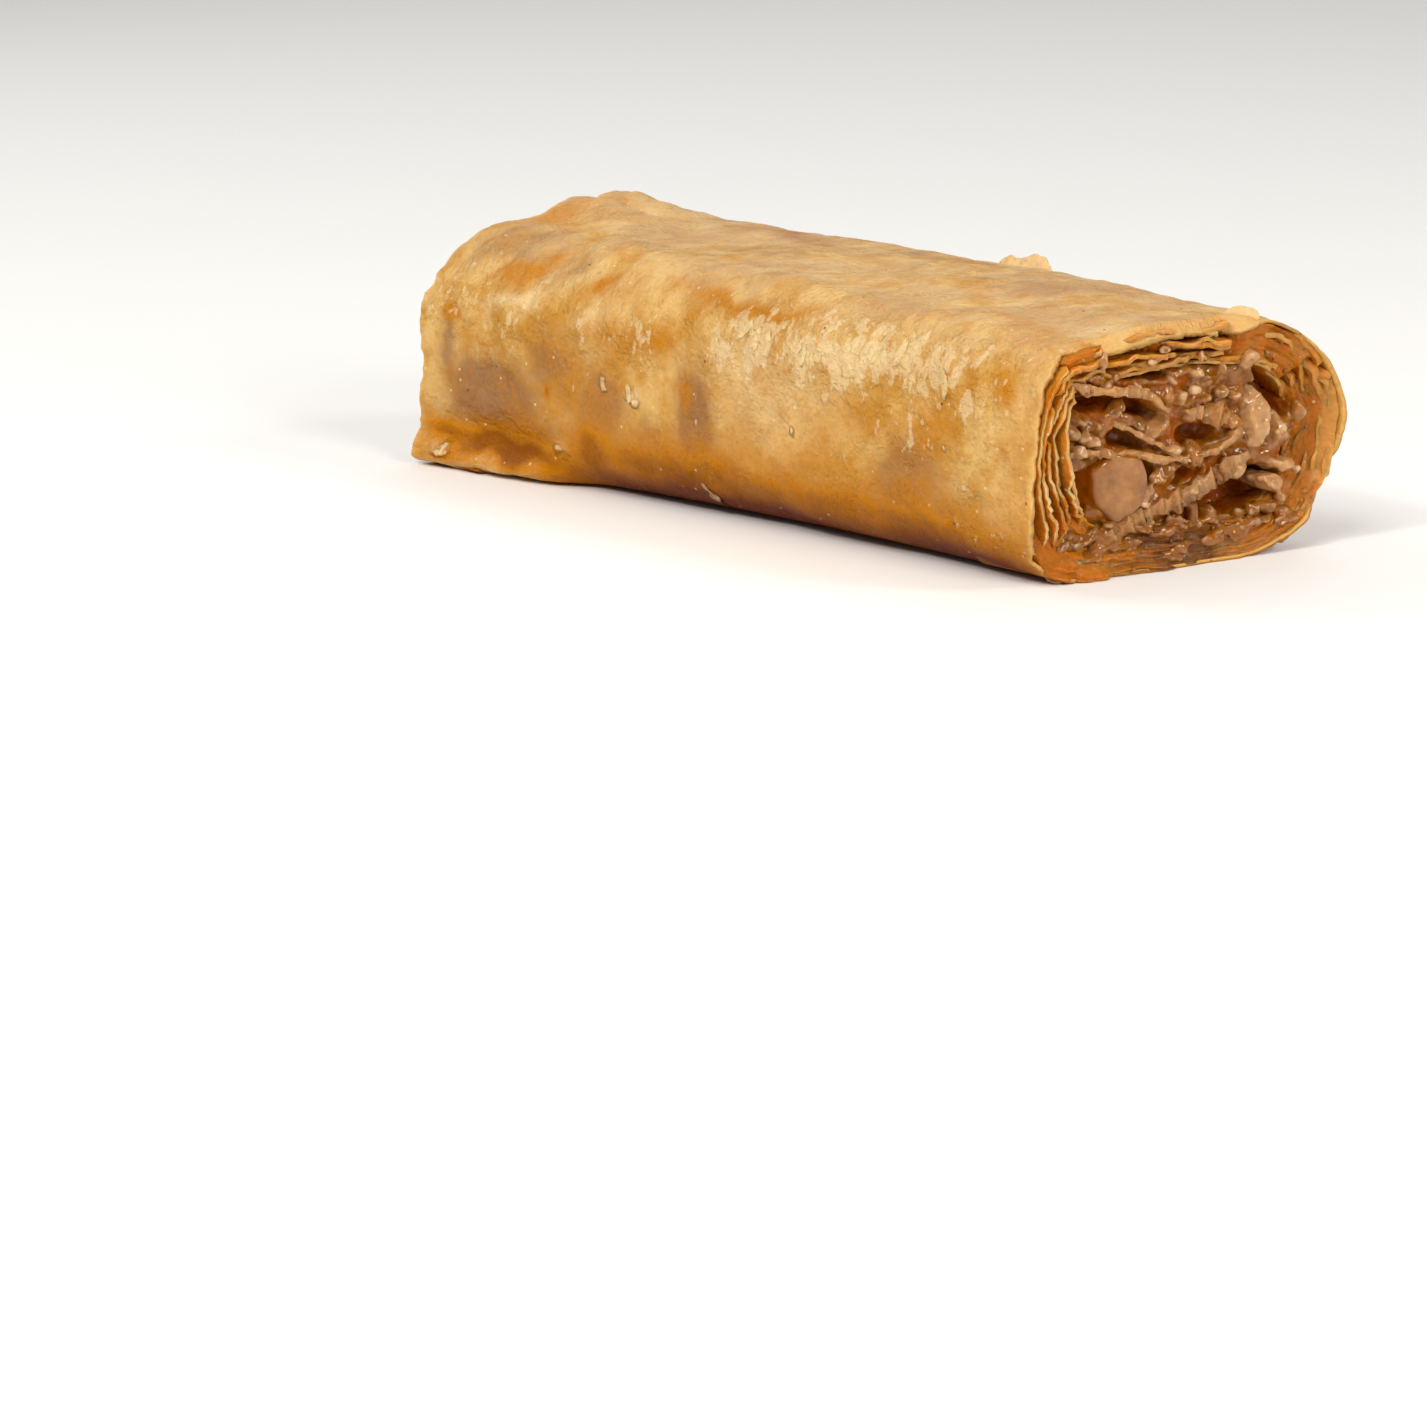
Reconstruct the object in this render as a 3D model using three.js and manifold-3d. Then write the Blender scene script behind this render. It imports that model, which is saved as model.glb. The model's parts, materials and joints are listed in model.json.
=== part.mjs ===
// A piece of rolled baklava: sheets of phyllo wound round a filling of chopped nuts, baked, soaked
// in syrup and cut across at both ends. It is two pieces: the pastry, a wall of wound leaves with
// the crumpled inner leaves of the scroll, and the nut filling that runs through it.
//
// Millimetres, +Z up. The origin is the middle of the flat underside. X runs along the roll, +X to
// the end with the large half nut, -Y is the front side and +Y the back.
import * as THREE from "three";
import { mergeVertices } from "three/addons/utils/BufferGeometryUtils.js";
import Module from "manifold-3d";

const wasm = await Module();
wasm.setup();
const { Manifold, Mesh: SolidMesh } = wasm;

// ---------------------------------------------------------------- sizes

const HALF_LENGTH = 37; // from the middle of the roll to the middle of each cut
const MIDDLE_Y = 1.5; // the line through the middles of the two cuts
const MIDDLE_Z = 10;

// The outline across the roll at its far end, its middle and its near end. The corner radii go
// front bottom, back bottom, back top, front top. The crown is how far the top falls away to its
// sides, and the lean is how far the foot of the front side stands out.
const FAR = { front: -14.3, back: 15.2, height: 20.2, crown: 0.5, lean: 0.7, radii: [2.4, 8, 7.5, 9] };
const MIDDLE = { front: -13.5, back: 15.3, height: 20, crown: 0.6, lean: 0.9, radii: [6.5, 8, 6.5, 5.5] };
const NEAR = { front: -13.4, back: 15.6, height: 19.1, crown: 1.6, lean: 0.9, radii: [5.5, 9, 9.5, 3.2] };
const CROWN_FROM = 0.4; // the crown starts at this share of the height

// Neither cut is square to the roll: x moves this much for each millimetre of y and of z.
const NEAR_CUT = { y: 0.17, z: 0.08 };
const FAR_CUT = { y: 0.13, z: -0.02 };

// The wall is wound leaves, drawn thicker and fewer than the real ones.
const LEAVES = 5;
const LEAF = 0.44;
const LEAF_GAP = 0.33;
const PITCH = LEAF + LEAF_GAP;
const WALL = LEAVES * PITCH - LEAF_GAP;
const INNER_TURN = 0.55; // how much of its depth a leaf loses from the radius of its corners
const ROUNDEST = 0.94; // the largest radius of a corner, as a share of half the height inside it
const SLIT = { least: 2.2, more: 1.6 }; // how far the slits between the leaves run in from a cut
const SET_BACK = 0.16; // how much shorter each leaf is than the one outside it
const EDGE_WAVE = 0.35; // how far a leaf's cut edge waves in and out
const EDGE_NIBBLE = 0.45; // how ragged it is
const SWAY = 0.14; // how far the leaves wander out of their even spacing
const FAN = { share: 0.32, u: 3.7, spread: 0.45, from: 0.8 }; // leaves spread at the near end's foot

const JOIN = 0.001; // corners closer than this are one
const CLEARANCE = 0.3; // between the pastry and the filling
const SCROLL_LEAF = 0.7;
const RECESS = 5; // how far the packed filling stops short of a cut

// Lumps and hollows of the surface: where each is, how far it spreads and how high it stands.
const BUMPS = [
  { at: [-36, 1.2, 20], spread: [8, 2.4, 4], height: 1.5 }, // two puffs of the top leaf
  { at: [-36, 5.8, 20], spread: [9, 2.6, 4], height: 1.5 },
  { at: [-29, -14, 3.4], spread: [7.5, 4, 1.7], height: -1.1 }, // the hollow over the lip
  { at: [-31, -10, 17], spread: [1.9, 5, 5], height: -0.5 }, // creases over the front top edge
  { at: [-24.5, -9, 18], spread: [1.6, 5, 4], height: -0.45 },
  { at: [-17, -9, 18], spread: [1.5, 4, 4], height: -0.4 },
  { at: [4, -14, 10], spread: [9, 4, 6], height: 0.35 }, // where the side swells
  { at: [29, -14, 12], spread: [5, 4, 4], height: 0.3 },
  { at: [17, 4, 20], spread: [8, 6, 4], height: 0.35 },
  { at: [-6, 15, 9], spread: [10, 4, 6], height: 0.4 },
];
const BUMP_INSIDE = 0.3; // the share of a bump that the innermost leaf still follows
const WAVE = { height: 0.2, x: 0.33, y: 0.42, z: 0.5 };

// The loose edge of the outer leaf, a lip along the foot of the front side at the far end.
const LIP = { until: -21, fade: 6, reach: 2.1, middle: 0.5, rise: 1.3 };

// Flakes that have come up from the top: thin tongues with their roots in the surface at t and u.
const FLAKES = [
  { t: 0.22, u: 1.89, length: 7.4, width: 2.4, lift: 1.1, turn: -0.12 },
  { t: 0.95, u: 2.02, length: 3.2, width: 2, lift: 0.9, turn: 0.3 },
];
const FLAKE_THICK = 0.5;

// The crumpled inner leaves, as lines across the roll at the near cut, each from its root in the
// wall or in another leaf to its free edge. back is how far it stops short of the cut.
const TONGUE = { back: 0.2, line: [[-11.4, 15.8], [-9.4, 14.9], [-6.2, 14.7], [-3.6, 14.2], [-1.5, 12.6]] };
const CURL = {
  back: 0.5,
  line: [[-11.9, 9.6], [-9, 9.9], [-5.5, 9.7], [-1, 8.8], [3.6, 8.7], [5.5, 10.3], [4.7, 11.8], [0.4, 12.9]],
};
const FOLD = { back: 0.8, line: [[0.2, 8.9], [-2.4, 10.2], [-4.4, 11.4], [-6, 12.2]] };
const SHELF = { back: 0.9, line: [[-6, 2.7], [-3, 4.6], [0.6, 5.6], [3.8, 6.9], [6.8, 8.3]] };
const SCROLL = [TONGUE, CURL, FOLD, SHELF];
const SCROLL_WAVE = 0.25;
// Towards the far end the scroll turns and wanders, but for its hold on the wall.
const DRIFT = { twist: -0.2, y: 0.6, z: 0.4, halfWidth: 13, halfHeight: 8 };

// The nuts that show most at the near end: [y, z, half width, half height, how far back].
const SHOWN_NUTS = [
  [-5.7, 7.0, 2.5, 2.7, 0.3], // the large half nut
  [7.6, 10.8, 1.4, 2.8, 0.2], // two pale slivers on the right
  [10.3, 9.3, 1.5, 1.8, 0.4],
  [-9.1, 11.9, 1.8, 1.3, 0.6], // a cluster on the left
  [-7.3, 11.1, 1.3, 0.9, 0.5],
  [-10.4, 8.6, 1.0, 1.2, 0.5],
  [-7.2, 15.6, 1.9, 1.0, 0.6], // under the top leaves
  [0.2, 15.2, 1.3, 0.9, 0.3],
  [3.2, 14.6, 1.4, 0.9, 0.7],
  [-1.7, 11.2, 1.7, 1.4, 1.0], // between the curl and the fold
  [9.9, 5.9, 1.5, 1.0, 0.7], // on and under the shelf
  [-0.4, 7.3, 1.4, 0.8, 1.1],
  [3.2, 7.9, 1.2, 0.9, 1.4],
  [-0.6, 4.5, 1.5, 1.1, 0.9],
];
const SHOWN_HALF_LENGTH = 3.1;
const NUT_LUMPS = 0.36; // how much the corners of a nut differ in their distance from its middle

// Hollows of the near end that run on into the filling: [y, z, half width, half height].
const HOLLOWS = [
  [6.6, 4.8, 3.7, 1.7],
  [9.2, 12.8, 2.4, 1.8],
  [-9.4, 6.2, 1.5, 1.9],
  [-8.8, 13.6, 2.2, 0.9],
];
const HOLLOW_DEPTH = 8;

// Smaller nuts stand in rings on the packed face of each end: how many, and how far out of the
// middle as a share of the way to the wall.
const RINGS = [[1, 0.12], [5, 0.4], [7, 0.68], [10, 0.92]];
const RING_HALF_WIDTH = 10.4;
const RING_HALF_HEIGHT = 5.4;
const RING_LOWER = 0.5; // how far the rings' middle lies below that of the cut

// ---------------------------------------------------------------- small helpers

const { clamp, lerp, smoothstep } = THREE.MathUtils;
const bell = (v, centre, spread) => Math.exp(-(((v - centre) / spread) ** 2));

// A repeatable number from 0 to 1 for a pair of whole numbers.
function chance(a, b) {
  const h = Math.sin(a * 127.1 + b * 311.7) * 43758.5453;
  return h - Math.floor(h);
}

// A solid from the positions of its corners and a list of three corners for each triangle.
function solid(positions, triangles) {
  const vertProperties = new Float32Array(positions);
  const triVerts = new Uint32Array(triangles);
  return new Manifold(new SolidMesh({ numProp: 3, vertProperties, triVerts }));
}

// A three.js geometry with only its positions left, and corners that all but touch joined.
function merged(geometry) {
  return mergeVertices(geometry.clone().deleteAttribute("normal").deleteAttribute("uv"), JOIN);
}

// A three.js geometry as a solid.
function solidOf(geometry) {
  const bare = merged(geometry);
  return solid(bare.attributes.position.array, bare.index.array);
}

// A solid as a three.js geometry.
function geometryOf(made) {
  const mesh = made.getMesh();
  const positions = new Float32Array(mesh.numVert * 3);
  for (let i = 0; i < mesh.numVert; i++) {
    positions.set(mesh.vertProperties.subarray(i * mesh.numProp, i * mesh.numProp + 3), i * 3);
  }
  const geometry = new THREE.BufferGeometry();
  geometry.setAttribute("position", new THREE.BufferAttribute(positions, 3));
  geometry.setIndex(new THREE.BufferAttribute(mesh.triVerts, 1));
  geometry.computeVertexNormals();
  return geometry;
}

// The largest body of a solid, with slivers closed and loose scraps dropped.
function largest(made) {
  const bodies = solidOf(geometryOf(made)).decompose();
  return bodies.sort((a, b) => b.volume() - a.volume())[0];
}

// ---------------------------------------------------------------- the roll's outline

// A value of the outline at t, from -1 at the far cut through 0 to 1 at the near cut.
function along(t, pick) {
  return (pick(FAR) * t * (t - 1)) / 2 + pick(MIDDLE) * (1 - t * t) + (pick(NEAR) * t * (t + 1)) / 2;
}

// The x of the station t above and below [y, z], with the cuts moved in by back.
function stationX(t, y, z, back = 0) {
  const [dy, dz] = [y - MIDDLE_Y, z - MIDDLE_Z];
  const far = back - HALF_LENGTH + FAR_CUT.y * dy + FAR_CUT.z * dz;
  const near = HALF_LENGTH - back + NEAR_CUT.y * dy + NEAR_CUT.z * dz;
  return lerp(far, near, (t + 1) / 2);
}

// How far the surface stands out at a point of the plain outline.
function bump(x, y, z) {
  let height = WAVE.height * Math.sin(WAVE.x * x + WAVE.z * z) * Math.cos(WAVE.y * y + 1);
  for (const { at, spread, height: peak } of BUMPS) {
    height += peak * bell(x, at[0], spread[0]) * bell(y, at[1], spread[1]) * bell(z, at[2], spread[2]);
  }
  return height * smoothstep(z, 0.3, 2.5); // the underside stays flat
}

// How far the loose edge of the outer leaf stands out at a point of the surface.
function lip(x, y, z) {
  const length = 1 - smoothstep(x, LIP.until - LIP.fade / 2, LIP.until + LIP.fade / 2);
  return y < 0 ? LIP.reach * length * bell(z, LIP.middle, LIP.rise) : 0;
}

// The straight run of each side, from the bottom round to the front, takes this share of its step
// round the outline, and its corner the rest.
const STRAIGHT = [0.5, 0.15, 0.7, 0.55];
const QUARTER = Math.PI / 2;

// The point [x, y, z] at t along the roll and u round it, depth inside the surface. u runs from 0
// to 4: bottom, back, top and front, each followed by its corner. dx shifts the point along X.
function wound(t, u, depth, dx = 0) {
  const front = along(t, (s) => s.front) + depth;
  const back = along(t, (s) => s.back) - depth;
  const height = along(t, (s) => s.height);
  const roundest = ROUNDEST * (height / 2 - depth);
  const radii = [0, 1, 2, 3].map((k) => {
    return Math.min(along(t, (s) => s.radii[k]) - INNER_TURN * depth, roundest);
  });
  const centres = [
    [front + radii[0], depth + radii[0]],
    [back - radii[1], depth + radii[1]],
    [back - radii[2], height - depth - radii[2]],
    [front + radii[3], height - depth - radii[3]],
  ];
  const side = Math.floor(u) % 4;
  const next = (side + 1) % 4;
  const share = u - Math.floor(u);
  const run = clamp(share / STRAIGHT[side], 0, 1);
  const bend = clamp((share - STRAIGHT[side]) / (1 - STRAIGHT[side]), 0, 1);
  const facing = (side + bend - 1) * QUARTER;
  const normal = [Math.cos(facing), Math.sin(facing)];
  const radius = lerp(radii[side], radii[next], run);
  let y = lerp(centres[side][0], centres[next][0], run) + normal[0] * radius;
  let z = lerp(centres[side][1], centres[next][1], run) + normal[1] * radius;
  const off = (2 * y - back - front) / (back - front); // -1 at the front side, 1 at the back
  const x = stationX(t, y, z) + dx;
  const out = bump(x, y, z) * lerp(1, BUMP_INSIDE, clamp(depth / WALL, 0, 1));
  const fall = along(t, (s) => s.crown) * off * off * smoothstep(z / height, CROWN_FROM, 1);
  y += normal[0] * out - along(t, (s) => s.lean) * (1 - z / height) * Math.max(0, -off);
  z += normal[1] * out - fall;
  y -= lip(x, y, z) * clamp(1 - depth / LEAF, 0, 1);
  return [x, y, z];
}

// The depth of a leaf once the leaves fan out at the foot of the front side, near the cut.
function fanned(t, u, depth) {
  const round = Math.min(Math.abs(u - FAN.u), Math.abs(u + 4 - FAN.u));
  return depth * (1 + FAN.share * bell(round, 0, FAN.spread) * smoothstep(t, FAN.from, 1));
}

// ---------------------------------------------------------------- pastry

const ROUND = 48; // steps round the roll
const OUTSIDE_STATIONS = 20;
const CROWDING = 1.25; // draws the outside's stations towards the far end, where it is creased
const BORE_STATIONS = 4;
const SCROLL_STATIONS = 4;

// How far the edge of a leaf stands past its cut at a step round the roll.
function ragged(seed, step) {
  const wave = Math.sin((step / ROUND) * 4 * Math.PI + seed * 2.3) * EDGE_WAVE;
  return wave + (chance(seed, step) - 0.6) * EDGE_NIBBLE;
}

// How deep the slit under a leaf is at a step round the roll. It changes every third step.
function slitDepth(seed, step) {
  return SLIT.least + SLIT.more * chance(seed, Math.floor(step / 3));
}

// How far a leaf wanders at a step round the roll. The outermost and the innermost keep still.
function sway(leaf, step) {
  return (SWAY * leaf * (LEAVES - 1 - leaf) * Math.sin(step * 0.6 + leaf * 2.1)) / LEAVES;
}

// The leaf edges and the slits between them at an end, from the outermost leaf inwards. hand is 1
// at the near cut and -1 at the far one.
function endStops(hand) {
  const stops = [];
  for (let leaf = 0; leaf < LEAVES; leaf++) {
    const seed = leaf + (hand > 0 ? 0 : 40);
    const edge = (step) => hand * (ragged(seed, step) - SET_BACK * leaf);
    const slit = (step) => -hand * slitDepth(seed + 20, step);
    if (leaf > 0) stops.push({ t: hand, leaf, within: 0, shift: slit });
    stops.push({ t: hand, leaf, within: 0, shift: edge });
    stops.push({ t: hand, leaf, within: LEAF, shift: edge });
    if (leaf < LEAVES - 1) stops.push({ t: hand, leaf, within: LEAF, shift: slit });
  }
  return stops;
}

// The stations along a smooth face of the wall, between the ends.
function faceStops(count, crowding, leaf, within) {
  return Array.from({ length: count - 1 }, (_, i) => {
    const t = lerp(-1, 1, ((i + 1) / count) ** crowding);
    return { t, leaf, within, shift: () => 0 };
  });
}

// The wall: one closed ring of leaves round an open bore. Its section runs along the outside to
// the near end, back through the bore, and out over the far end.
function wall() {
  const outside = faceStops(OUTSIDE_STATIONS, CROWDING, 0, 0);
  const bore = faceStops(BORE_STATIONS, 1, LEAVES - 1, LEAF).reverse();
  const stops = [...outside, ...endStops(1), ...bore, ...endStops(-1).reverse()];
  const positions = [];
  const triangles = [];
  for (let step = 0; step < ROUND; step++) {
    const u = (4 * step) / ROUND;
    for (const { t, leaf, within, shift } of stops) {
      const depth = leaf * PITCH + within + sway(leaf, step);
      positions.push(...wound(t, u, fanned(t, u, depth), shift(step)));
    }
  }
  const at = (step, stop) => (step % ROUND) * stops.length + (stop % stops.length);
  for (let step = 0; step < ROUND; step++) {
    for (let stop = 0; stop < stops.length; stop++) {
      const [a, b] = [at(step, stop), at(step, stop + 1)];
      const [c, d] = [at(step + 1, stop + 1), at(step + 1, stop)];
      triangles.push(a, c, b, a, d, c);
    }
  }
  return solid(positions, triangles);
}

// Where the scroll's point [y, z] of the near cut has gone to at t.
function drifted(t, [y, z]) {
  const away = (1 - t) / 2;
  const [dy, dz] = [y - MIDDLE_Y, z - MIDDLE_Z];
  const free = 1 - smoothstep(Math.hypot(dy / DRIFT.halfWidth, dz / DRIFT.halfHeight), 0.5, 0.9);
  const twist = DRIFT.twist * away * free;
  return [
    MIDDLE_Y + dy * Math.cos(twist) - dz * Math.sin(twist) + DRIFT.y * free * Math.sin(7 * away),
    MIDDLE_Z + dy * Math.sin(twist) + dz * Math.cos(twist) + DRIFT.z * free * Math.sin(5 * away),
  ];
}

// The outline of a leaf of the scroll at t, as points [y, z] up one face and down the other. grow
// lengthens it at its free edge.
function leafOutline(t, curve, steps, thickness, grow) {
  const middle = curve.getPoints(steps).map((p) => drifted(t, [p.x, p.y]));
  const [[lastY, lastZ], [endY, endZ]] = middle.slice(-2);
  const longer = 1 + grow / Math.hypot(endY - lastY, endZ - lastZ);
  middle[steps] = [lerp(lastY, endY, longer), lerp(lastZ, endZ, longer)];
  const face = (hand) =>
    middle.map(([y, z], i) => {
      const [ay, az] = middle[Math.max(i - 1, 0)];
      const [by, bz] = middle[Math.min(i + 1, steps)];
      const length = Math.hypot(by - ay, bz - az);
      const wave = SCROLL_WAVE * Math.sin(i * 1.3 - t * 3.8) * Math.sin((Math.PI * i) / steps);
      const out = (hand * thickness) / 2 + wave;
      return [y - (out * (bz - az)) / length, z + (out * (by - ay)) / length];
    });
  return [...face(1), ...face(-1).reverse()];
}

// A leaf of the scroll, which runs from one cut to the other. For cutting the filling it is made
// thicker, and grow makes it longer at its free edge and past the cuts.
function scrollLeaf({ line, back }, thickness, grow = 0) {
  const curve = new THREE.SplineCurve(line.map(([y, z]) => new THREE.Vector2(y, z)));
  const steps = line.length * 2;
  const rim = 2 * (steps + 1);
  const positions = [];
  const triangles = [];
  for (let k = 0; k <= SCROLL_STATIONS; k++) {
    const t = lerp(-1, 1, k / SCROLL_STATIONS);
    for (const [y, z] of leafOutline(t, curve, steps, thickness, grow)) {
      positions.push(stationX(t, y, z, back - grow), y, z);
    }
  }
  for (let k = 0; k < SCROLL_STATIONS; k++) {
    for (let i = 0; i < rim; i++) {
      const [a, b] = [k * rim + i, k * rim + ((i + 1) % rim)];
      triangles.push(a, a + rim, b + rim, a, b + rim, b);
    }
  }
  const near = SCROLL_STATIONS * rim;
  for (let i = 0; i < steps; i++) {
    const [a, b, c, d] = [i, i + 1, rim - 2 - i, rim - 1 - i];
    triangles.push(a, b, c, a, c, d);
    triangles.push(near + a, near + c, near + b, near + a, near + d, near + c);
  }
  return solid(positions, triangles);
}

// A flake: a flat oval tongue, half of it sunk in the surface.
function flake({ t, u, length, width, lift, turn }) {
  const shape = new THREE.Shape();
  shape.absellipse(0, 0, length / 2, width / 2, 0, 2 * Math.PI, false, 0);
  const options = { depth: FLAKE_THICK, bevelEnabled: false, curveSegments: 7 };
  const place = new THREE.Matrix4()
    .makeTranslation(...wound(t, u, 0))
    .multiply(new THREE.Matrix4().makeRotationZ(turn))
    .multiply(new THREE.Matrix4().makeRotationX(lift));
  return solidOf(new THREE.ExtrudeGeometry(shape, options).applyMatrix4(place));
}

function pastry() {
  let made = wall();
  for (const leaf of SCROLL) made = made.add(scrollLeaf(leaf, SCROLL_LEAF));
  for (const one of FLAKES) made = made.add(flake(one));
  return largest(made);
}

// ---------------------------------------------------------------- filling

const CORE_ROUND = 24;
const CORE_STATIONS = 4;
const CORE_INSET = 0.2; // how far the nuts at the rim of an end stand out of the core

// The space inside the wall, clear of it by clearance and closed at t = -reach and t = reach.
function boreSpace(reach, clearance) {
  const positions = [];
  const triangles = [];
  for (let k = 0; k <= CORE_STATIONS; k++) {
    const t = lerp(-reach, reach, k / CORE_STATIONS);
    for (let step = 0; step < CORE_ROUND; step++) {
      const u = (4 * step) / CORE_ROUND;
      positions.push(...wound(t, u, fanned(t, u, WALL) + clearance));
    }
  }
  for (let k = 0; k < CORE_STATIONS; k++) {
    for (let i = 0; i < CORE_ROUND; i++) {
      const [a, b] = [k * CORE_ROUND + i, k * CORE_ROUND + ((i + 1) % CORE_ROUND)];
      triangles.push(a, b, b + CORE_ROUND, a, b + CORE_ROUND, a + CORE_ROUND);
    }
  }
  for (const hand of [-1, 1]) {
    const hub = positions.length / 3;
    positions.push(stationX(hand * reach, MIDDLE_Y, MIDDLE_Z), MIDDLE_Y, MIDDLE_Z);
    const rim = hand > 0 ? CORE_STATIONS * CORE_ROUND : 0;
    for (let i = 0; i < CORE_ROUND; i++) {
      const [a, b] = [rim + i, rim + ((i + 1) % CORE_ROUND)];
      triangles.push(hub, ...(hand > 0 ? [a, b] : [b, a]));
    }
  }
  return solid(positions, triangles);
}

// A nut: a ball with its corners knocked in and out, of the given half sizes.
function nut(seed, halves, detail) {
  const geometry = merged(new THREE.IcosahedronGeometry(1, detail));
  const places = geometry.attributes.position;
  for (let i = 0; i < places.count; i++) {
    const grown = 1 + NUT_LUMPS * (chance(seed, i) - 0.5);
    places.setXYZ(i, places.getX(i) * grown, places.getY(i) * grown, places.getZ(i) * grown);
  }
  return geometry.scale(...halves);
}

// The nuts that show most at the near end.
function shownNuts() {
  return SHOWN_NUTS.map(([y, z, halfY, halfZ, back], i) => {
    const lump = nut(i + 1, [SHOWN_HALF_LENGTH, halfY, halfZ], 1);
    return solidOf(lump.translate(stationX(1, y, z, back + SHOWN_HALF_LENGTH * 0.92), y, z));
  });
}

// The smaller nuts of an end. Those of the far end stand out further, as it has no others.
function ringNuts(hand) {
  const made = [];
  RINGS.forEach(([count, reach], ring) => {
    for (let i = 0; i < count; i++) {
      const seed = 100 * ring + i + (hand > 0 ? 0 : 500);
      const angle = ((i + chance(seed, 1)) / count) * 2 * Math.PI;
      const y = MIDDLE_Y + Math.cos(angle) * reach * RING_HALF_WIDTH;
      const z = MIDDLE_Z - RING_LOWER + Math.sin(angle) * reach * RING_HALF_HEIGHT;
      const forward = hand < 0 ? 2.4 * chance(seed, 4) : 0;
      const size = 1.15 + 0.75 * chance(seed, 2);
      const lump = nut(seed, [2.2 + forward, size, size * 0.8], 0);
      lump.rotateX(chance(seed, 5) * Math.PI);
      const back = RECESS - 1.2 + 0.8 * chance(seed, 3) - forward;
      made.push(solidOf(lump.translate(stationX(hand, y, z, back), y, z)));
    }
  });
  return made;
}

// The filling: a packed core with hollows and nuts at its ends, cut round the scroll's leaves.
function filling() {
  let made = boreSpace(1 - RECESS / HALF_LENGTH, CLEARANCE + CORE_INSET);
  for (const [y, z, halfY, halfZ] of HOLLOWS) {
    const ball = new THREE.IcosahedronGeometry(1, 1).scale(HOLLOW_DEPTH, halfY, halfZ);
    made = made.subtract(solidOf(ball.translate(stationX(1, y, z, 1), y, z)));
  }
  for (const piece of [...shownNuts(), ...ringNuts(1), ...ringNuts(-1)]) made = made.add(piece);
  made = made.intersect(boreSpace(0.99, CLEARANCE));
  for (const leaf of SCROLL) {
    made = made.subtract(scrollLeaf(leaf, SCROLL_LEAF + 2 * CLEARANCE, CLEARANCE));
  }
  return largest(made);
}

// ---------------------------------------------------------------- the piece

const PHYLLO = new THREE.MeshStandardMaterial({ color: 0xd89a4a, roughness: 0.42, metalness: 0 });
const NUTS = new THREE.MeshStandardMaterial({ color: 0xb58252, roughness: 0.5, metalness: 0 });

function named(name, made, material) {
  const mesh = new THREE.Mesh(geometryOf(made), material);
  mesh.name = name;
  return mesh;
}

const baklava = new THREE.Group();
baklava.add(named("phyllo_roll", pastry(), PHYLLO));
baklava.add(named("nut_filling", filling(), NUTS));

export default baklava;
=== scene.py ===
"""A piece of rolled baklava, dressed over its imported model.

Sheets of phyllo are wound round a filling of chopped nuts, baked, soaked in syrup and cut across.
The script works in millimetres, +Z up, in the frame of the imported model: the origin is the middle
of the flat underside, X runs along the roll to the near cut, -Y is the front side and +Y the back.
mesh_object() turns every finished mesh to metres. A call of cloud() or cells() gives the points, how
far apart the lumps are, and a seed.
"""

import json
import logging
import math
from dataclasses import dataclass, field, fields
from enum import Enum
from functools import partial
from itertools import product

import bmesh
import bpy
import numpy as np
from bpy.types import ID, Material, Mesh, Node, NodeSocket, NodeTree, Object, bpy_prop_collection
from mathutils import Matrix, Vector
from mathutils.kdtree import KDTree

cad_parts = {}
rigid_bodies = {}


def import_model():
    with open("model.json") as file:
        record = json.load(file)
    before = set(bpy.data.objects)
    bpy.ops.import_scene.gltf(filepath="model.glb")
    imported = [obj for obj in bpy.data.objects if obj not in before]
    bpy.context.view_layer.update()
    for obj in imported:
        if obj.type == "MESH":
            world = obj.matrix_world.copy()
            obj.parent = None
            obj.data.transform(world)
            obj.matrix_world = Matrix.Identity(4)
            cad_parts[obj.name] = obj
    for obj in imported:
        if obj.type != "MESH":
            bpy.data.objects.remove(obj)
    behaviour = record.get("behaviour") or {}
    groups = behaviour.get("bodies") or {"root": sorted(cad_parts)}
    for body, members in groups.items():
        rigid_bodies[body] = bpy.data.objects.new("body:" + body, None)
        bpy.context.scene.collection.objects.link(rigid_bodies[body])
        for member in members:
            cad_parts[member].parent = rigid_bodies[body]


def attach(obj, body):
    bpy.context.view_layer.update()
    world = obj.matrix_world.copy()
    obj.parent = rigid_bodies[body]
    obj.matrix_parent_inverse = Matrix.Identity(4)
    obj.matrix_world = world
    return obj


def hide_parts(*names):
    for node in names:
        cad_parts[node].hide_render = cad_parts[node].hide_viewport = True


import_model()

logging.basicConfig(level=logging.INFO, format="%(message)s")
log = logging.getLogger("baklava")

MM = 0.001
# How far red, green and blue light scatter inside pastry and nuts, as shares of the scatter distance.
SCATTER_BY_COLOUR = (1.0, 0.5, 0.2)
SYRUP_IOR = 1.47
Array = np.ndarray
# The points of a closed skin in millimetres, its faces and the four numbers that the finishes read.
Skin = tuple[Array, Array, Array]

# ------------------------------------------------------------------------------ small helpers


class End(Enum):
    """The two cuts of the roll, by the side of X that they face."""

    NEAR = 1
    FAR = -1

    @property
    def t(self) -> float:
        """The station of the cut along the roll."""
        return float(self.value)


class Side(Enum):
    """The sides of the roll that a patch can lie on."""

    FRONT = "front"
    TOP = "top"
    BACK = "back"


def rise(value: Array, low: float, high: float) -> Array:
    """Rises smoothly from 0 at low to 1 at high; low may be the larger one."""
    share = np.clip((value - low) / (high - low), 0.0, 1.0)
    return share * share * (3.0 - 2.0 * share)


def lerp(low: Array, high: Array, share: Array) -> Array:
    """The value that lies at that share of the way from low to high."""
    return low + (high - low) * share


def bell(value: Array, centre: float, spread: float) -> Array:
    """1 at the centre, and about a third at the spread from it."""
    return np.exp(-(((value - centre) / spread) ** 2))


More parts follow.
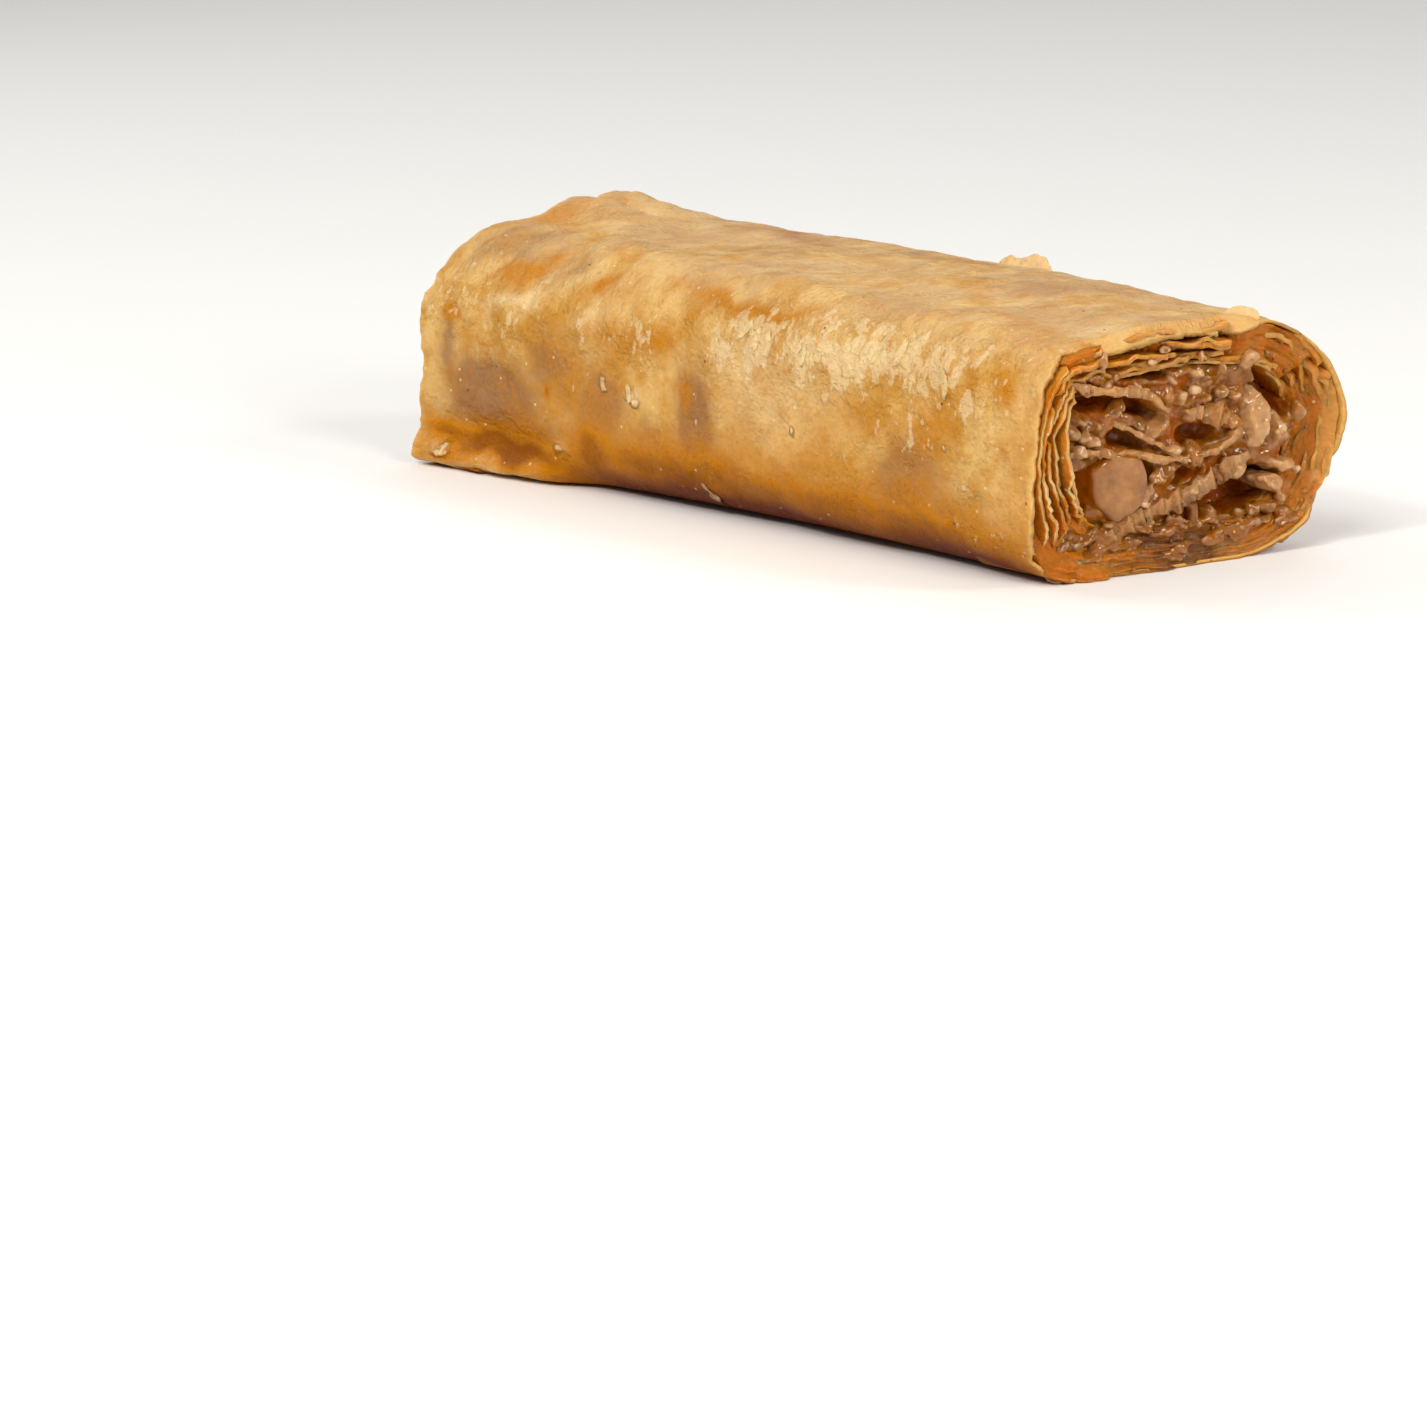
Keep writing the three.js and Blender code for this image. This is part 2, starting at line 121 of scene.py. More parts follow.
def cell_chance(cell: Array, seed: int) -> Array:
    """A repeatable number from -1 to 1 for each cell of a lattice.

    Args:
        cell: whole numbers, with three in the last axis.
        seed: another seed gives other numbers.

    Returns:
        One number for each cell.
    """
    i, j, k = (cell[..., axis].astype(np.int64) for axis in range(3))
    mixed = (i * 374761393 + j * 668265263 + k * 1442695041 + seed * 1274126177) & 0xFFFFFFFF
    mixed = ((mixed ^ (mixed >> 13)) * 1274126177) & 0xFFFFFFFF
    return (mixed ^ (mixed >> 16)) / 0x7FFFFFFF - 1.0


def cloud(points: Array, size: float | tuple[float, ...], seed: int, layers: int = 1) -> Array:
    """Smooth noise from about -1 to 1.

    Args:
        points: places in millimetres, with three numbers in the last axis.
        size: how far apart its lumps are, in millimetres, or so along each axis.
        seed: another seed gives other noise.
        layers: how many finer copies are added, each at half the size and half the height.

    Returns:
        One number for each point.
    """
    total, weight, weights = 0.0, 1.0, 0.0
    for layer in range(layers):
        place = points / np.asarray(size, dtype=float) * 2.0**layer
        base = np.floor(place)
        share = place - base
        share = share**3 * (share * (share * 6.0 - 15.0) + 10.0)
        value = 0.0
        for corner in product((0, 1), repeat=3):
            part = np.prod(np.where(corner, share, 1.0 - share), -1)
            value = value + part * cell_chance(base + corner, seed + 31 * layer)
        total = total + weight * value
        weights += weight
        weight *= 0.5
    return total / weights


def cells(points: Array, size: float, seed: int) -> Array:
    """Distance to the nearest of points strewn about size apart, in units of size."""
    place = points / size
    base = np.floor(place)
    nearest = np.full(points.shape[:-1], 9.0)
    for offset in product((-1, 0, 1), repeat=3):
        cell = base + offset
        spot = cell + 0.5 + 0.5 * np.stack([cell_chance(cell, seed + n) for n in range(3)], -1)
        nearest = np.minimum(nearest, np.linalg.norm(place - spot, axis=-1))
    return nearest


def spline(points: list[tuple[float, float]], count: int) -> Array:
    """A smooth curve through the points, as count points that are evenly spaced along it."""
    knots = np.array(points, dtype=float)
    padded = np.vstack([2 * knots[0] - knots[1], knots, 2 * knots[-1] - knots[-2]])
    share = np.linspace(0, len(knots) - 1, 40 * len(knots))
    index = np.minimum(share.astype(int), len(knots) - 2)
    v = (share - index)[:, None]
    a, b, c, d = (padded[index + n] for n in range(4))
    fine = 0.5 * (2 * b + (c - a) * v + (2 * a - 5 * b + 4 * c - d) * v**2 + (3 * b - a - 3 * c + d) * v**3)
    lengths = np.concatenate([[0], np.cumsum(np.linalg.norm(np.diff(fine, axis=0), axis=1))])
    wanted = np.linspace(0, lengths[-1], count)
    return np.stack([np.interp(wanted, lengths, fine[:, axis]) for axis in range(2)], -1)


def outward(points: Array, faces: Array) -> Array:
    """The faces of a closed skin, turned to face outward."""
    corners = [points[faces[:, n]] for n in range(faces.shape[1])]
    pairs = zip(corners[1:], corners[2:])
    holds = sum(np.einsum("ij,ij->", corners[0], np.cross(b, c)) for b, c in pairs)
    return faces if holds >= 0 else faces[:, ::-1]


def in_scene(name: str, data: ID) -> Object:
    """A new object of that name and data, in the scene."""
    made = bpy.data.objects.new(name, data)
    bpy.context.scene.collection.objects.link(made)
    return made


def mesh_object(
    name: str, points: Array, faces: Array, bake: Array | None = None, flaky: Array | None = None
) -> Object:
    """A smooth mesh object from points in millimetres.

    Args:
        name: the name of the object.
        points: one row for each corner.
        faces: rows of three or four corner numbers, which form closed skins.
        bake: four numbers from 0 to 1 for each corner, kept as the attribute that the finishes read.
        flaky: one number from 0 to 1 for each corner, for how readily the leaf has flaked there.

    Returns:
        The new object, at the origin and in metres.
    """
    data = bpy.data.meshes.new(name)
    data.vertices.add(len(points))
    data.vertices.foreach_set("co", (np.asarray(points, dtype=np.float32) * MM).ravel())
    faces = outward(points, np.asarray(faces, dtype=np.int32))
    data.loops.add(faces.size)
    data.loops.foreach_set("vertex_index", faces.ravel())
    data.polygons.add(len(faces))
    data.polygons.foreach_set("loop_start", np.arange(0, faces.size, faces.shape[1], dtype=np.int32))
    data.polygons.foreach_set("use_smooth", np.ones(len(faces), dtype=bool))
    if bake is not None:
        layer = data.color_attributes.new("bake", "FLOAT_COLOR", "POINT")
        layer.data.foreach_set("color", np.clip(bake, 0, 1).astype(np.float32).ravel())
    if flaky is not None:
        layer = data.attributes.new("flaky", "FLOAT", "POINT")
        layer.data.foreach_set("value", flaky.astype(np.float32))
    data.update()
    data.validate()
    return in_scene(name, data)


def rows_of(items: bpy_prop_collection, name: str, width: int) -> Array:
    """A property of each of a mesh's points or corners, as rows of that many numbers."""
    values = np.empty(len(items) * width)
    items.foreach_get(name, values)
    return values.reshape(-1, width)


def evaluated(source: Object) -> Mesh:
    """The mesh of an object once its modifiers have run."""
    return bpy.data.meshes.new_from_object(source.evaluated_get(bpy.context.evaluated_depsgraph_get()))


def grid_faces(rows: int, columns: int, ring: bool) -> Array:
    """The four-sided faces of a grid of corners, of which ring joins the last column to the first."""
    across = np.arange(columns if ring else columns - 1)
    nxt = (across + 1) % columns
    lines = np.arange(rows - 1)[:, None] * columns
    above = lines + columns
    return np.stack([lines + across, lines + nxt, above + nxt, above + across], -1).reshape(-1, 4)


def tube_faces(rows: int, columns: int) -> Array:
    """The faces of a ring of rings, of which the last joins the first."""
    first = np.arange(columns)
    last = first + (rows - 1) * columns
    closing = np.stack([last, np.roll(last, -1), np.roll(first, -1), first], -1)
    return np.concatenate([grid_faces(rows, columns, True), closing])


def shell(outer: Array, inner: Array, ring: bool) -> tuple[Array, Array]:
    """A thin closed sheet between two grids of points.

    Args:
        outer: rows, columns and three numbers. Seen from outside, columns run right and rows up.
        inner: the other face, of the same shape.
        ring: the last column meets the first, as in a wound leaf.

    Returns:
        The points, and the faces with their normals out.
    """
    rows, columns = outer.shape[:2]
    points = np.concatenate([outer.reshape(-1, 3), inner.reshape(-1, 3)])
    half = rows * columns
    top = grid_faces(rows, columns, ring)
    parts = [top, (top + half)[:, ::-1]]
    across = np.arange(columns if ring else columns - 1)
    nxt = (across + 1) % columns
    last = (rows - 1) * columns
    parts.append(np.stack([nxt, across, across + half, nxt + half], -1))
    parts.append(np.stack([across, nxt, nxt + half, across + half], -1) + last)
    if not ring:
        up = np.arange(rows - 1) * columns
        end = up + columns - 1
        parts.append(np.stack([up, up + columns, up + columns + half, up + half], -1))
        parts.append(np.stack([end + columns, end, end + half, end + columns + half], -1))
    return points, np.concatenate(parts)


# ------------------------------------------------------------------------------ the roll's form


@dataclass(frozen=True)
class Section:
    """The outline across the roll: its sides, its height and its corner radii.

    The radii go front bottom, back bottom, back top, front top. The crown is how far the top falls
    away to its sides, and the lean is how far the foot of the front side stands out.
    """

    front: float
    back: float
    height: float
    crown: float
    lean: float
    radii: tuple[float, float, float, float]


@dataclass(frozen=True)
class Swelling:
    """A lump or hollow of the surface: where it is, how far it spreads and how high it stands."""

    at: tuple[float, float, float]
    spread: tuple[float, float, float]
    height: float


@dataclass
class RollForm:
    """The form of the roll, the same as that of its solids."""

    half_length: float = 37.0
    middle_y: float = 1.5
    middle_z: float = 10.0
    far: Section = Section(-14.3, 15.2, 20.2, 0.5, 0.7, (2.4, 8.0, 7.5, 9.0))
    middle: Section = Section(-13.5, 15.3, 20.0, 0.6, 0.9, (6.5, 8.0, 6.5, 5.5))
    near: Section = Section(-13.4, 15.6, 19.1, 1.6, 0.9, (5.5, 9.0, 9.5, 3.2))
    crown_from: float = 0.4
    near_cut: tuple[float, float] = (0.17, 0.08)
    far_cut: tuple[float, float] = (0.13, -0.02)
    wall: float = 3.52
    inner_turn: float = 0.55
    roundest: float = 0.94
    bump_inside: float = 0.3
    wave_height: float = 0.2
    wave: tuple[float, float, float] = (0.33, 0.42, 0.5)
    swellings: tuple[Swelling, ...] = (
        Swelling((-36, 1.2, 20), (8, 2.4, 4), 1.5),
        Swelling((-36, 5.8, 20), (9, 2.6, 4), 1.5),
        Swelling((-29, -14, 3.4), (7.5, 4, 1.7), -1.1),
        Swelling((-31, -10, 17), (1.9, 5, 5), -0.5),
        Swelling((-24.5, -9, 18), (1.6, 5, 4), -0.45),
        Swelling((-17, -9, 18), (1.5, 4, 4), -0.4),
        Swelling((4, -14, 10), (9, 4, 6), 0.35),
        Swelling((29, -14, 12), (5, 4, 4), 0.3),
        Swelling((17, 4, 20), (8, 6, 4), 0.35),
        Swelling((-6, 15, 9), (10, 4, 6), 0.4),
    )
    lip_until: float = -21.0
    lip_fade: float = 6.0
    lip_reach: float = 2.1
    lip_middle: float = 0.5
    lip_rise: float = 1.3
    lip_leaf: float = 0.44
    straight: tuple[float, float, float, float] = (0.5, 0.15, 0.7, 0.55)
    fan_share: float = 0.4
    fan_at: float = 3.74
    fan_spread: float = 0.32
    fan_from: float = 0.8
    thin_share: float = 0.32
    thin_at: float = 3.15
    thin_spread: float = 0.4

    def along(self, t: Array, name: str, index: int | None = None) -> Array:
        """A value of the outline at t, from -1 at the far cut through 0 to 1 at the near cut."""
        far, middle, near = (
            getattr(section, name) if index is None else getattr(section, name)[index]
            for section in (self.far, self.middle, self.near)
        )
        return far * t * (t - 1) / 2 + middle * (1 - t * t) + near * t * (t + 1) / 2

    def station_x(self, t: Array, y: Array, z: Array, back: Array = 0.0) -> Array:
        """The x of the station t over y and z, with the cuts moved in by back."""
        dy, dz = y - self.middle_y, z - self.middle_z
        far = back - self.half_length + self.far_cut[0] * dy + self.far_cut[1] * dz
        near = self.half_length - back + self.near_cut[0] * dy + self.near_cut[1] * dz
        return lerp(far, near, (t + 1) / 2)

    def swell(self, x: Array, y: Array, z: Array) -> Array:
        """How far the surface stands out at a point of the plain outline."""
        along_x, along_y, along_z = self.wave
        height = self.wave_height * np.sin(along_x * x + along_z * z) * np.cos(along_y * y + 1)
        for one in self.swellings:
            at_x, at_y, at_z = (
                bell(value, centre, spread) for value, centre, spread in zip((x, y, z), one.at, one.spread)
            )
            height = height + one.height * at_x * at_y * at_z
        points = np.stack([x, y, z], -1)
        ripples = 0.15 * cloud(points, (7, 5, 5), 11, 2)
        creases = 0.09 * (1 - 2 * np.abs(cloud(points, (2.4, 4.5, 4.5), 17, 2)))
        return (height + ripples + creases) * rise(z, 0.3, 2.5)

    def lip(self, x: Array, y: Array, z: Array) -> Array:
        """How far the loose edge of the outer leaf stands out at a point of the surface."""
        length = 1 - rise(x, self.lip_until - self.lip_fade / 2, self.lip_until + self.lip_fade / 2)
        return np.where(y < 0, self.lip_reach * length * bell(z, self.lip_middle, self.lip_rise), 0.0)

    def wound(self, t: Array, u: Array, depth: Array, dx: Array = 0.0) -> tuple[Array, Array]:
        """Points of the wound leaves.

        Args:
            t: the place along the roll, from -1 to 1.
            u: the place round it, from 0 to 4: bottom, back, top and front, each with its corner.
            depth: how far inside the surface.
            dx: a shift along X.

        Returns:
            The points and the outward normals of the outline there.
        """
        t, u, depth, dx = np.broadcast_arrays(*(np.asarray(v, dtype=float) for v in (t, u, depth, dx)))
        front = self.along(t, "front") + depth
        back = self.along(t, "back") - depth
        height = self.along(t, "height")
        most = self.roundest * (height / 2 - depth)
        radii = [np.minimum(self.along(t, "radii", k) - self.inner_turn * depth, most) for k in range(4)]
        centre_y = [front + radii[0], back - radii[1], back - radii[2], front + radii[3]]
        centre_z = [depth + radii[0], depth + radii[1], height - depth - radii[2], height - depth - radii[3]]
        side = np.floor(u).astype(int) % 4
        nxt = (side + 1) % 4
        share = u - np.floor(u)
        straight = np.array(self.straight)[side]
        run = np.clip(share / straight, 0, 1)
        bend = np.clip((share - straight) / (1 - straight), 0, 1)
        facing = (side + bend - 1) * math.pi / 2
        normal_y, normal_z = np.cos(facing), np.sin(facing)

        def eased(values: list[Array]) -> Array:
            """The value on the way from this side's corner to the next one's."""
            return lerp(np.choose(side, values), np.choose(nxt, values), run)

        y = eased(centre_y) + normal_y * eased(radii)
        z = eased(centre_z) + normal_z * eased(radii)
        off = (2 * y - back - front) / (back - front)
        x = self.station_x(t, y, z) + dx
        out = self.swell(x, y, z) * lerp(1.0, self.bump_inside, np.clip(depth / self.wall, 0, 1))
        fall = self.along(t, "crown") * off * off * rise(z / height, self.crown_from, 1)
        y = y + normal_y * out - self.along(t, "lean") * (1 - z / height) * np.maximum(0, -off)
        z = z + normal_z * out - fall
        y = y - self.lip(x, y, z) * np.clip(1 - depth / self.lip_leaf, 0, 1)
        return np.stack([x, y, z], -1), np.stack([np.zeros_like(x), normal_y, normal_z], -1)

    def fanned(self, t: Array, u: Array, depth: Array) -> Array:
        """The depth of a leaf once the leaves fan out at the foot of the front side, near the cut."""
        round_way = np.minimum(np.abs(u - self.fan_at), np.abs(u + 4 - self.fan_at))
        spread = bell(round_way, 0, self.fan_spread)
        thin = bell(u, self.thin_at, self.thin_spread)
        return depth * (1 + (self.fan_share * spread - self.thin_share * thin) * rise(t, self.fan_from, 1))

    def drifted(self, t: Array, y: Array, z: Array) -> tuple[Array, Array]:
        """Where a point of the scroll at the near cut has gone to at t."""
        away = (1 - t) / 2
        dy, dz = y - self.middle_y, z - self.middle_z
        free = 1 - rise(np.hypot(dy / 13.0, dz / 8.0), 0.5, 0.9)
        twist = -0.2 * away * free
        return (
            self.middle_y + dy * np.cos(twist) - dz * np.sin(twist) + 0.6 * free * np.sin(7 * away),
            self.middle_z + dy * np.sin(twist) + dz * np.cos(twist) + 0.4 * free * np.sin(5 * away),
        )

    def round_steps(self, spacing: float, under: float = 2.6) -> Array:
        """Values of u that are about evenly spaced round the roll.

        Args:
            spacing: the distance between them in millimetres.
            under: how many times that distance is on the hidden underside.

        Returns:
            The values, from 0 up to just under 4.
        """
        fine = np.linspace(0, 4, 4001)
        points, _ = self.wound(0.0, fine, 0.0)
        steps = np.linalg.norm(np.diff(points, axis=0), axis=1)
        steps = np.where(fine[1:] < self.straight[0], steps / under, steps)
        lengths = np.concatenate([[0], np.cumsum(steps)])
        count = int(lengths[-1] / spacing)
        return np.interp(np.arange(count) * lengths[-1] / count, lengths, fine)

    def u_at(self, y: float, z: float, t: float = 1.0) -> float:
        """The value of u whose point of the outline at t lies nearest to y and z."""
        fine = np.linspace(0, 4, 2000, endpoint=False)
        points, _ = self.wound(t, fine, 0.0)
        return float(fine[np.argmin(np.hypot(points[:, 1] - y, points[:, 2] - z))])


FORM = RollForm()
HALF = FORM.half_length


def beside(u: Array, y: float, z: float, spread: float, t: float = 1.0) -> Array:
    """1 at the u whose point of the outline at t lies nearest to y and z, and less away from it."""
    return bell((u - FORM.u_at(y, z, t) + 2.0) % 4.0 - 2.0, 0, spread)


def bake_shares(pale: Array, toast_and_shade: Array, soaked: Array, rim: Array) -> Array:
    """The four numbers that the finishes read, each from 0 to 1, in the last axis."""
    return np.clip(np.stack(np.broadcast_arrays(pale, toast_and_shade, soaked, rim), -1), 0, 1)


# ------------------------------------------------------------------------------ finishes


def linear(hex_colour: str) -> tuple[float, float, float, float]:
    """An sRGB hex value as a linear colour with alpha."""
    values = (int(hex_colour[i : i + 2], 16) / 255 for i in (1, 3, 5))
    return (*(v / 12.92 if v <= 0.04045 else ((v + 0.055) / 1.055) ** 2.4 for v in values), 1.0)


def add_node(tree: NodeTree, kind: str, inputs: dict | None = None, **settings) -> Node:
    """Adds a node to a tree.

    Args:
        tree: the node tree.
        kind: the node's type.
        inputs: for an input's name or number, the socket that feeds it or the value that it has.
        settings: properties of the node.

    Returns:
        The new node.
    """
    node = tree.nodes.new(kind)
    for name, value in settings.items():
        setattr(node, name, value)
    for name, value in (inputs or {}).items():
        if isinstance(value, NodeSocket):
            tree.links.new(value, node.inputs[name])
        else:
            node.inputs[name].default_value = value
    return node


def new_finish(name: str) -> tuple[Material, NodeTree]:
    """A new material of that name, and its empty node tree."""
    made = bpy.data.materials.new(name)
    made.use_nodes = True
    made.node_tree.nodes.clear()
    return made, made.node_tree


@dataclass(frozen=True)
class BakedPhyllo:
    """Phyllo: paper-thin wheat dough, brushed with butter, baked and soaked in syrup.

    It is translucent, with a satin gloss. It is golden to begin with, cream where a leaf has puffed
    up and flaked, amber to reddish brown where leaves lie tight, and dull brown where the syrup has
    soaked in over the nuts. A broken rim is pale. Its shares also carry painted light: painted shade
    turns it amber to reddish brown in folds, gaps and hollows and low on the front, painted sheen
    makes the top paler and greyer, and small pale specks are painted glints of sugar crystals.
    """

    name: str
    gold: str = "#BE8424"
    light: str = "#D7AD66"
    pale: str = "#E0BF88"
    flake: str = "#EED6A8"
    soaked: str = "#906036"
    amber: str = "#BA7400"
    deep: str = "#6A2A00"
    rim: str = "#EBC27A"
    ior: float = 1.45
    roughness: float = 0.32
    flaked_roughness: float = 0.18
    crinkle_roughness: float = 0.2
    specular: float = 0.05
    coat: float = 0.3
    coat_roughness: float = 0.14
    scatter: float = 0.14
    scatter_mm: float = 0.5
    mottle_mm: float = 2.0
    grain_mm: float = 0.2
    crinkle_mm: float = 0.9
    plate_mm: float = 0.62
    grain_high_mm: float = 0.4
    crinkle_high_mm: float = 1.0
    plate_high_mm: float = 0.08
    pore_apart_mm: float = 2.9
    # How far apart the painted glints of sugar crystals lie.
    crystal_apart_mm: float = 1.7

    def material(self) -> Material:
        """Makes the material, which reads pale, toast, soaked and rim from bake, and flaky by itself."""
        made, tree = new_finish(self.name)
        node = partial(add_node, tree)
        place = node("ShaderNodeTexCoord").outputs["Object"]
        upright = node("ShaderNodeMapping", {"Vector": place, "Scale": (1.25, 1.1, 0.7)}).outputs[0]
        mottle, grain, crinkle, plate = (
            node(
                "ShaderNodeTexNoise",
                {"Vector": where, "Scale": 0.5 / (size * MM), "Detail": detail, "Roughness": 0.6},
            ).outputs["Fac"]
            for where, size, detail in (
                (place, self.mottle_mm, 5.0),
                (place, self.grain_mm, 2.0),
                (place, self.crinkle_mm, 3.0),
                (upright, self.plate_mm, 6.0),
            )
        )
        # Cells for the dark pores, and for the small pale specks that are painted glints of sugar crystals.
        pores, crystal_glint_cells = (
            node("ShaderNodeTexVoronoi", {"Vector": place, "Scale": 1 / (apart * MM)}).outputs[0]
            for apart in (self.pore_apart_mm, self.crystal_apart_mm)
        )
        baked = node("ShaderNodeAttribute", attribute_name="bake").outputs
        pale, toast_and_shade, soaked = node("ShaderNodeSeparateColor", {"Color": baked["Color"]}).outputs
        loose = node("ShaderNodeAttribute", attribute_name="flaky").outputs["Fac"]
        risen = node("ShaderNodeMath", {0: loose, 1: 0.5, 2: plate}, operation="MULTIPLY_ADD").outputs[0]
        # Each row is what is read, its range, and what that range turns to.
        flaked, dried, warm, dark, pore, crystal_glint, shade, sheen, leathery = (
            node("ShaderNodeMapRange", dict(enumerate(row))).outputs[0]
            for row in (
                (risen, 0.78, 0.84, 0.0, 0.44),
                (risen, 1.0, 1.15, 0.0, 0.7),
                (toast_and_shade, 0.0, 0.5, 0.0, 1.0),
                (toast_and_shade, 0.5, 1.0, 0.0, 1.0),
                (pores, 0.035, 0.055, 0.8, 0.0),
                (crystal_glint_cells, 0.05, 0.09, 0.55, 0.0),
                (grain, 0.3, 0.7, 0.93, 1.05),
                (toast_and_shade, 0.2, 0.8, self.coat, 0.2 * self.coat),
                (loose, 0.0, 0.5, 0.35, 1.0),
            )
        )
        tone, freckle = (
            node("ShaderNodeMapRange", dict(enumerate(row)), interpolation_type="SMOOTHSTEP").outputs[0]
            for row in ((mottle, 0.35, 0.65, 0.0, 1.0), (crinkle, 0.52, 0.66, 0.0, 0.35))
        )
        colour = linear(self.gold)
        for share, tint in (
            (tone, self.light),
            (pale, self.pale),
            (soaked, self.soaked),
            (freckle, self.amber),
            (warm, self.amber),
            (dark, self.deep),
            (flaked, self.flake),
            (dried, self.flake),
            # Painted glints of sugar crystals, in the flake colour.
            (crystal_glint, self.flake),
            (pore, self.deep),
            (baked["Alpha"], self.rim),
        ):
            layers = {0: share, 6: colour, 7: linear(tint)}
            colour = node("ShaderNodeMix", layers, data_type="RGBA").outputs[2]
        fine = node("ShaderNodeVectorMath", {0: colour, "Scale": shade}, operation="SCALE").outputs[0]
        gloss, creased = self.roughness, 0.0
        for share, part in ((flaked, self.flaked_roughness), (crinkle, self.crinkle_roughness)):
            terms = {0: share, 1: part, 2: gloss}
            gloss = node("ShaderNodeMath", terms, operation="MULTIPLY_ADD").outputs[0]
        for share, high in ((grain, self.grain_high_mm), (crinkle, self.crinkle_high_mm)):
            terms = {0: share, 1: high, 2: creased}
            creased = node("ShaderNodeMath", terms, operation="MULTIPLY_ADD").outputs[0]
        tight = node("ShaderNodeMath", {0: creased, 1: leathery}, operation="MULTIPLY").outputs[0]
        plates = {0: flaked, 1: self.plate_high_mm, 2: tight}
        height = node("ShaderNodeMath", plates, operation="MULTIPLY_ADD").outputs[0]
        bump = node("ShaderNodeBump", {"Height": height, "Strength": 1.0, "Distance": MM}).outputs[0]
        shader = node(
            "ShaderNodeBsdfPrincipled",
            {
                "Base Color": fine,
                "Roughness": gloss,
                "IOR": self.ior,
                "Specular IOR Level": self.specular,
                "Subsurface Weight": self.scatter,
                "Subsurface Radius": SCATTER_BY_COLOUR,
                "Subsurface Scale": self.scatter_mm * MM,
                "Coat Weight": sheen,
                "Coat Roughness": self.coat_roughness,
                "Coat IOR": SYRUP_IOR,
                "Normal": bump,
                "Coat Normal": bump,
            },
        )
        node("ShaderNodeOutputMaterial", {"Surface": shader.outputs[0]})
        return made


@dataclass(frozen=True)
class ChoppedNut:
    """Nut flesh: chopped pale kernels, wet with syrup.

    The flesh is waxy and a little translucent. It is tan where it is fresh cut, brown where syrup and
    crumbs cling to it, and deep orange-brown down in the hollows, which is partly syrup and partly
    painted shade. Its ridges are painted paler, as painted highlights, and the side of the half nut
    turned from the light is painted darker, as painted shade. The syrup gives it small bright glints.
    """

    name: str
    flesh: str = "#86480E"
    light: str = "#B27634"
    amber: str = "#945608"
    deep: str = "#9A4A04"
    soaked: str = "#6C420C"
    rim: str = "#E0C8A0"
    ior: float = 1.46
    roughness: float = 0.36
    specular: float = 0.06
    coat: float = 1.0
    coat_roughness: float = 0.1
    coat_ior: float = 1.5
    scatter: float = 0.2
    scatter_mm: float = 0.6
    mottle_mm: float = 1.3
    fibre_mm: float = 0.36
    fibre_high_mm: float = 0.14

    def material(self) -> Material:
        """Makes the material, which reads light, toast, soaked and rim from bake."""
        made, tree = new_finish(self.name)
        node = partial(add_node, tree)
        place = node("ShaderNodeTexCoord").outputs["Object"]
        mottle, fibre = (
            node(
                "ShaderNodeTexNoise",
                {"Vector": place, "Scale": 0.5 / (size * MM), "Detail": 4.0, "Roughness": 0.6},
            ).outputs["Fac"]
            for size in (self.mottle_mm, self.fibre_mm)
        )
        baked = node("ShaderNodeAttribute", attribute_name="bake").outputs
        pale, toast_and_shade, soaked = node("ShaderNodeSeparateColor", {"Color": baked["Color"]}).outputs
        # Each row is what is read, its range, and what that range turns to.
        tone, warm, dark, shade, gloss, sheen = (
            node("ShaderNodeMapRange", dict(enumerate(row))).outputs[0]
            for row in (
                (mottle, 0.36, 0.64, 0.0, 1.0),
                (toast_and_shade, 0.0, 0.5, 0.0, 1.0),
                (toast_and_shade, 0.5, 1.0, 0.0, 1.0),
                (fibre, 0.3, 0.7, 0.9, 1.08),
                (mottle, 0.3, 0.7, self.roughness - 0.1, self.roughness + 0.1),
                (toast_and_shade, 0.5, 1.0, self.coat, 0.25 * self.coat),
            )
        )
        colour = linear(self.flesh)
        for share, tint in (
            (tone, self.light),
            (pale, self.light),
            (soaked, self.soaked),
            (warm, self.amber),
            (dark, self.deep),
            (baked["Alpha"], self.rim),
        ):
            layers = {0: share, 6: colour, 7: linear(tint)}
            colour = node("ShaderNodeMix", layers, data_type="RGBA").outputs[2]
        fine = node("ShaderNodeVectorMath", {0: colour, "Scale": shade}, operation="SCALE").outputs[0]
        height = node("ShaderNodeMath", {0: fibre, 1: self.fibre_high_mm}, operation="MULTIPLY").outputs[0]
        bump = node("ShaderNodeBump", {"Height": height, "Strength": 1.0, "Distance": MM}).outputs[0]
        shader = node(
            "ShaderNodeBsdfPrincipled",
            {
                "Base Color": fine,
                "Roughness": gloss,
                "IOR": self.ior,
                "Specular IOR Level": self.specular,
                "Subsurface Weight": self.scatter,
                "Subsurface Radius": SCATTER_BY_COLOUR,
                "Subsurface Scale": self.scatter_mm * MM,
                "Coat Weight": sheen,
                "Coat Roughness": self.coat_roughness,
                "Coat IOR": self.coat_ior,
                "Normal": bump,
            },
        )
        node("ShaderNodeOutputMaterial", {"Surface": shader.outputs[0]})
        return made


@dataclass(frozen=True)
class PaleTable:
    """A matt painted table top, plain and pale."""

    name: str = "matt_white_paint"
    colour: str = "#F2F1EE"
    roughness: float = 0.7

    def material(self) -> Material:
        """Makes the material."""
        made, tree = new_finish(self.name)
        settings = {"Base Color": linear(self.colour), "Roughness": self.roughness}
        shader = add_node(tree, "ShaderNodeBsdfPrincipled", settings)
        add_node(tree, "ShaderNodeOutputMaterial", {"Surface": shader.outputs[0]})
        return made


# ------------------------------------------------------------------------------ pastry


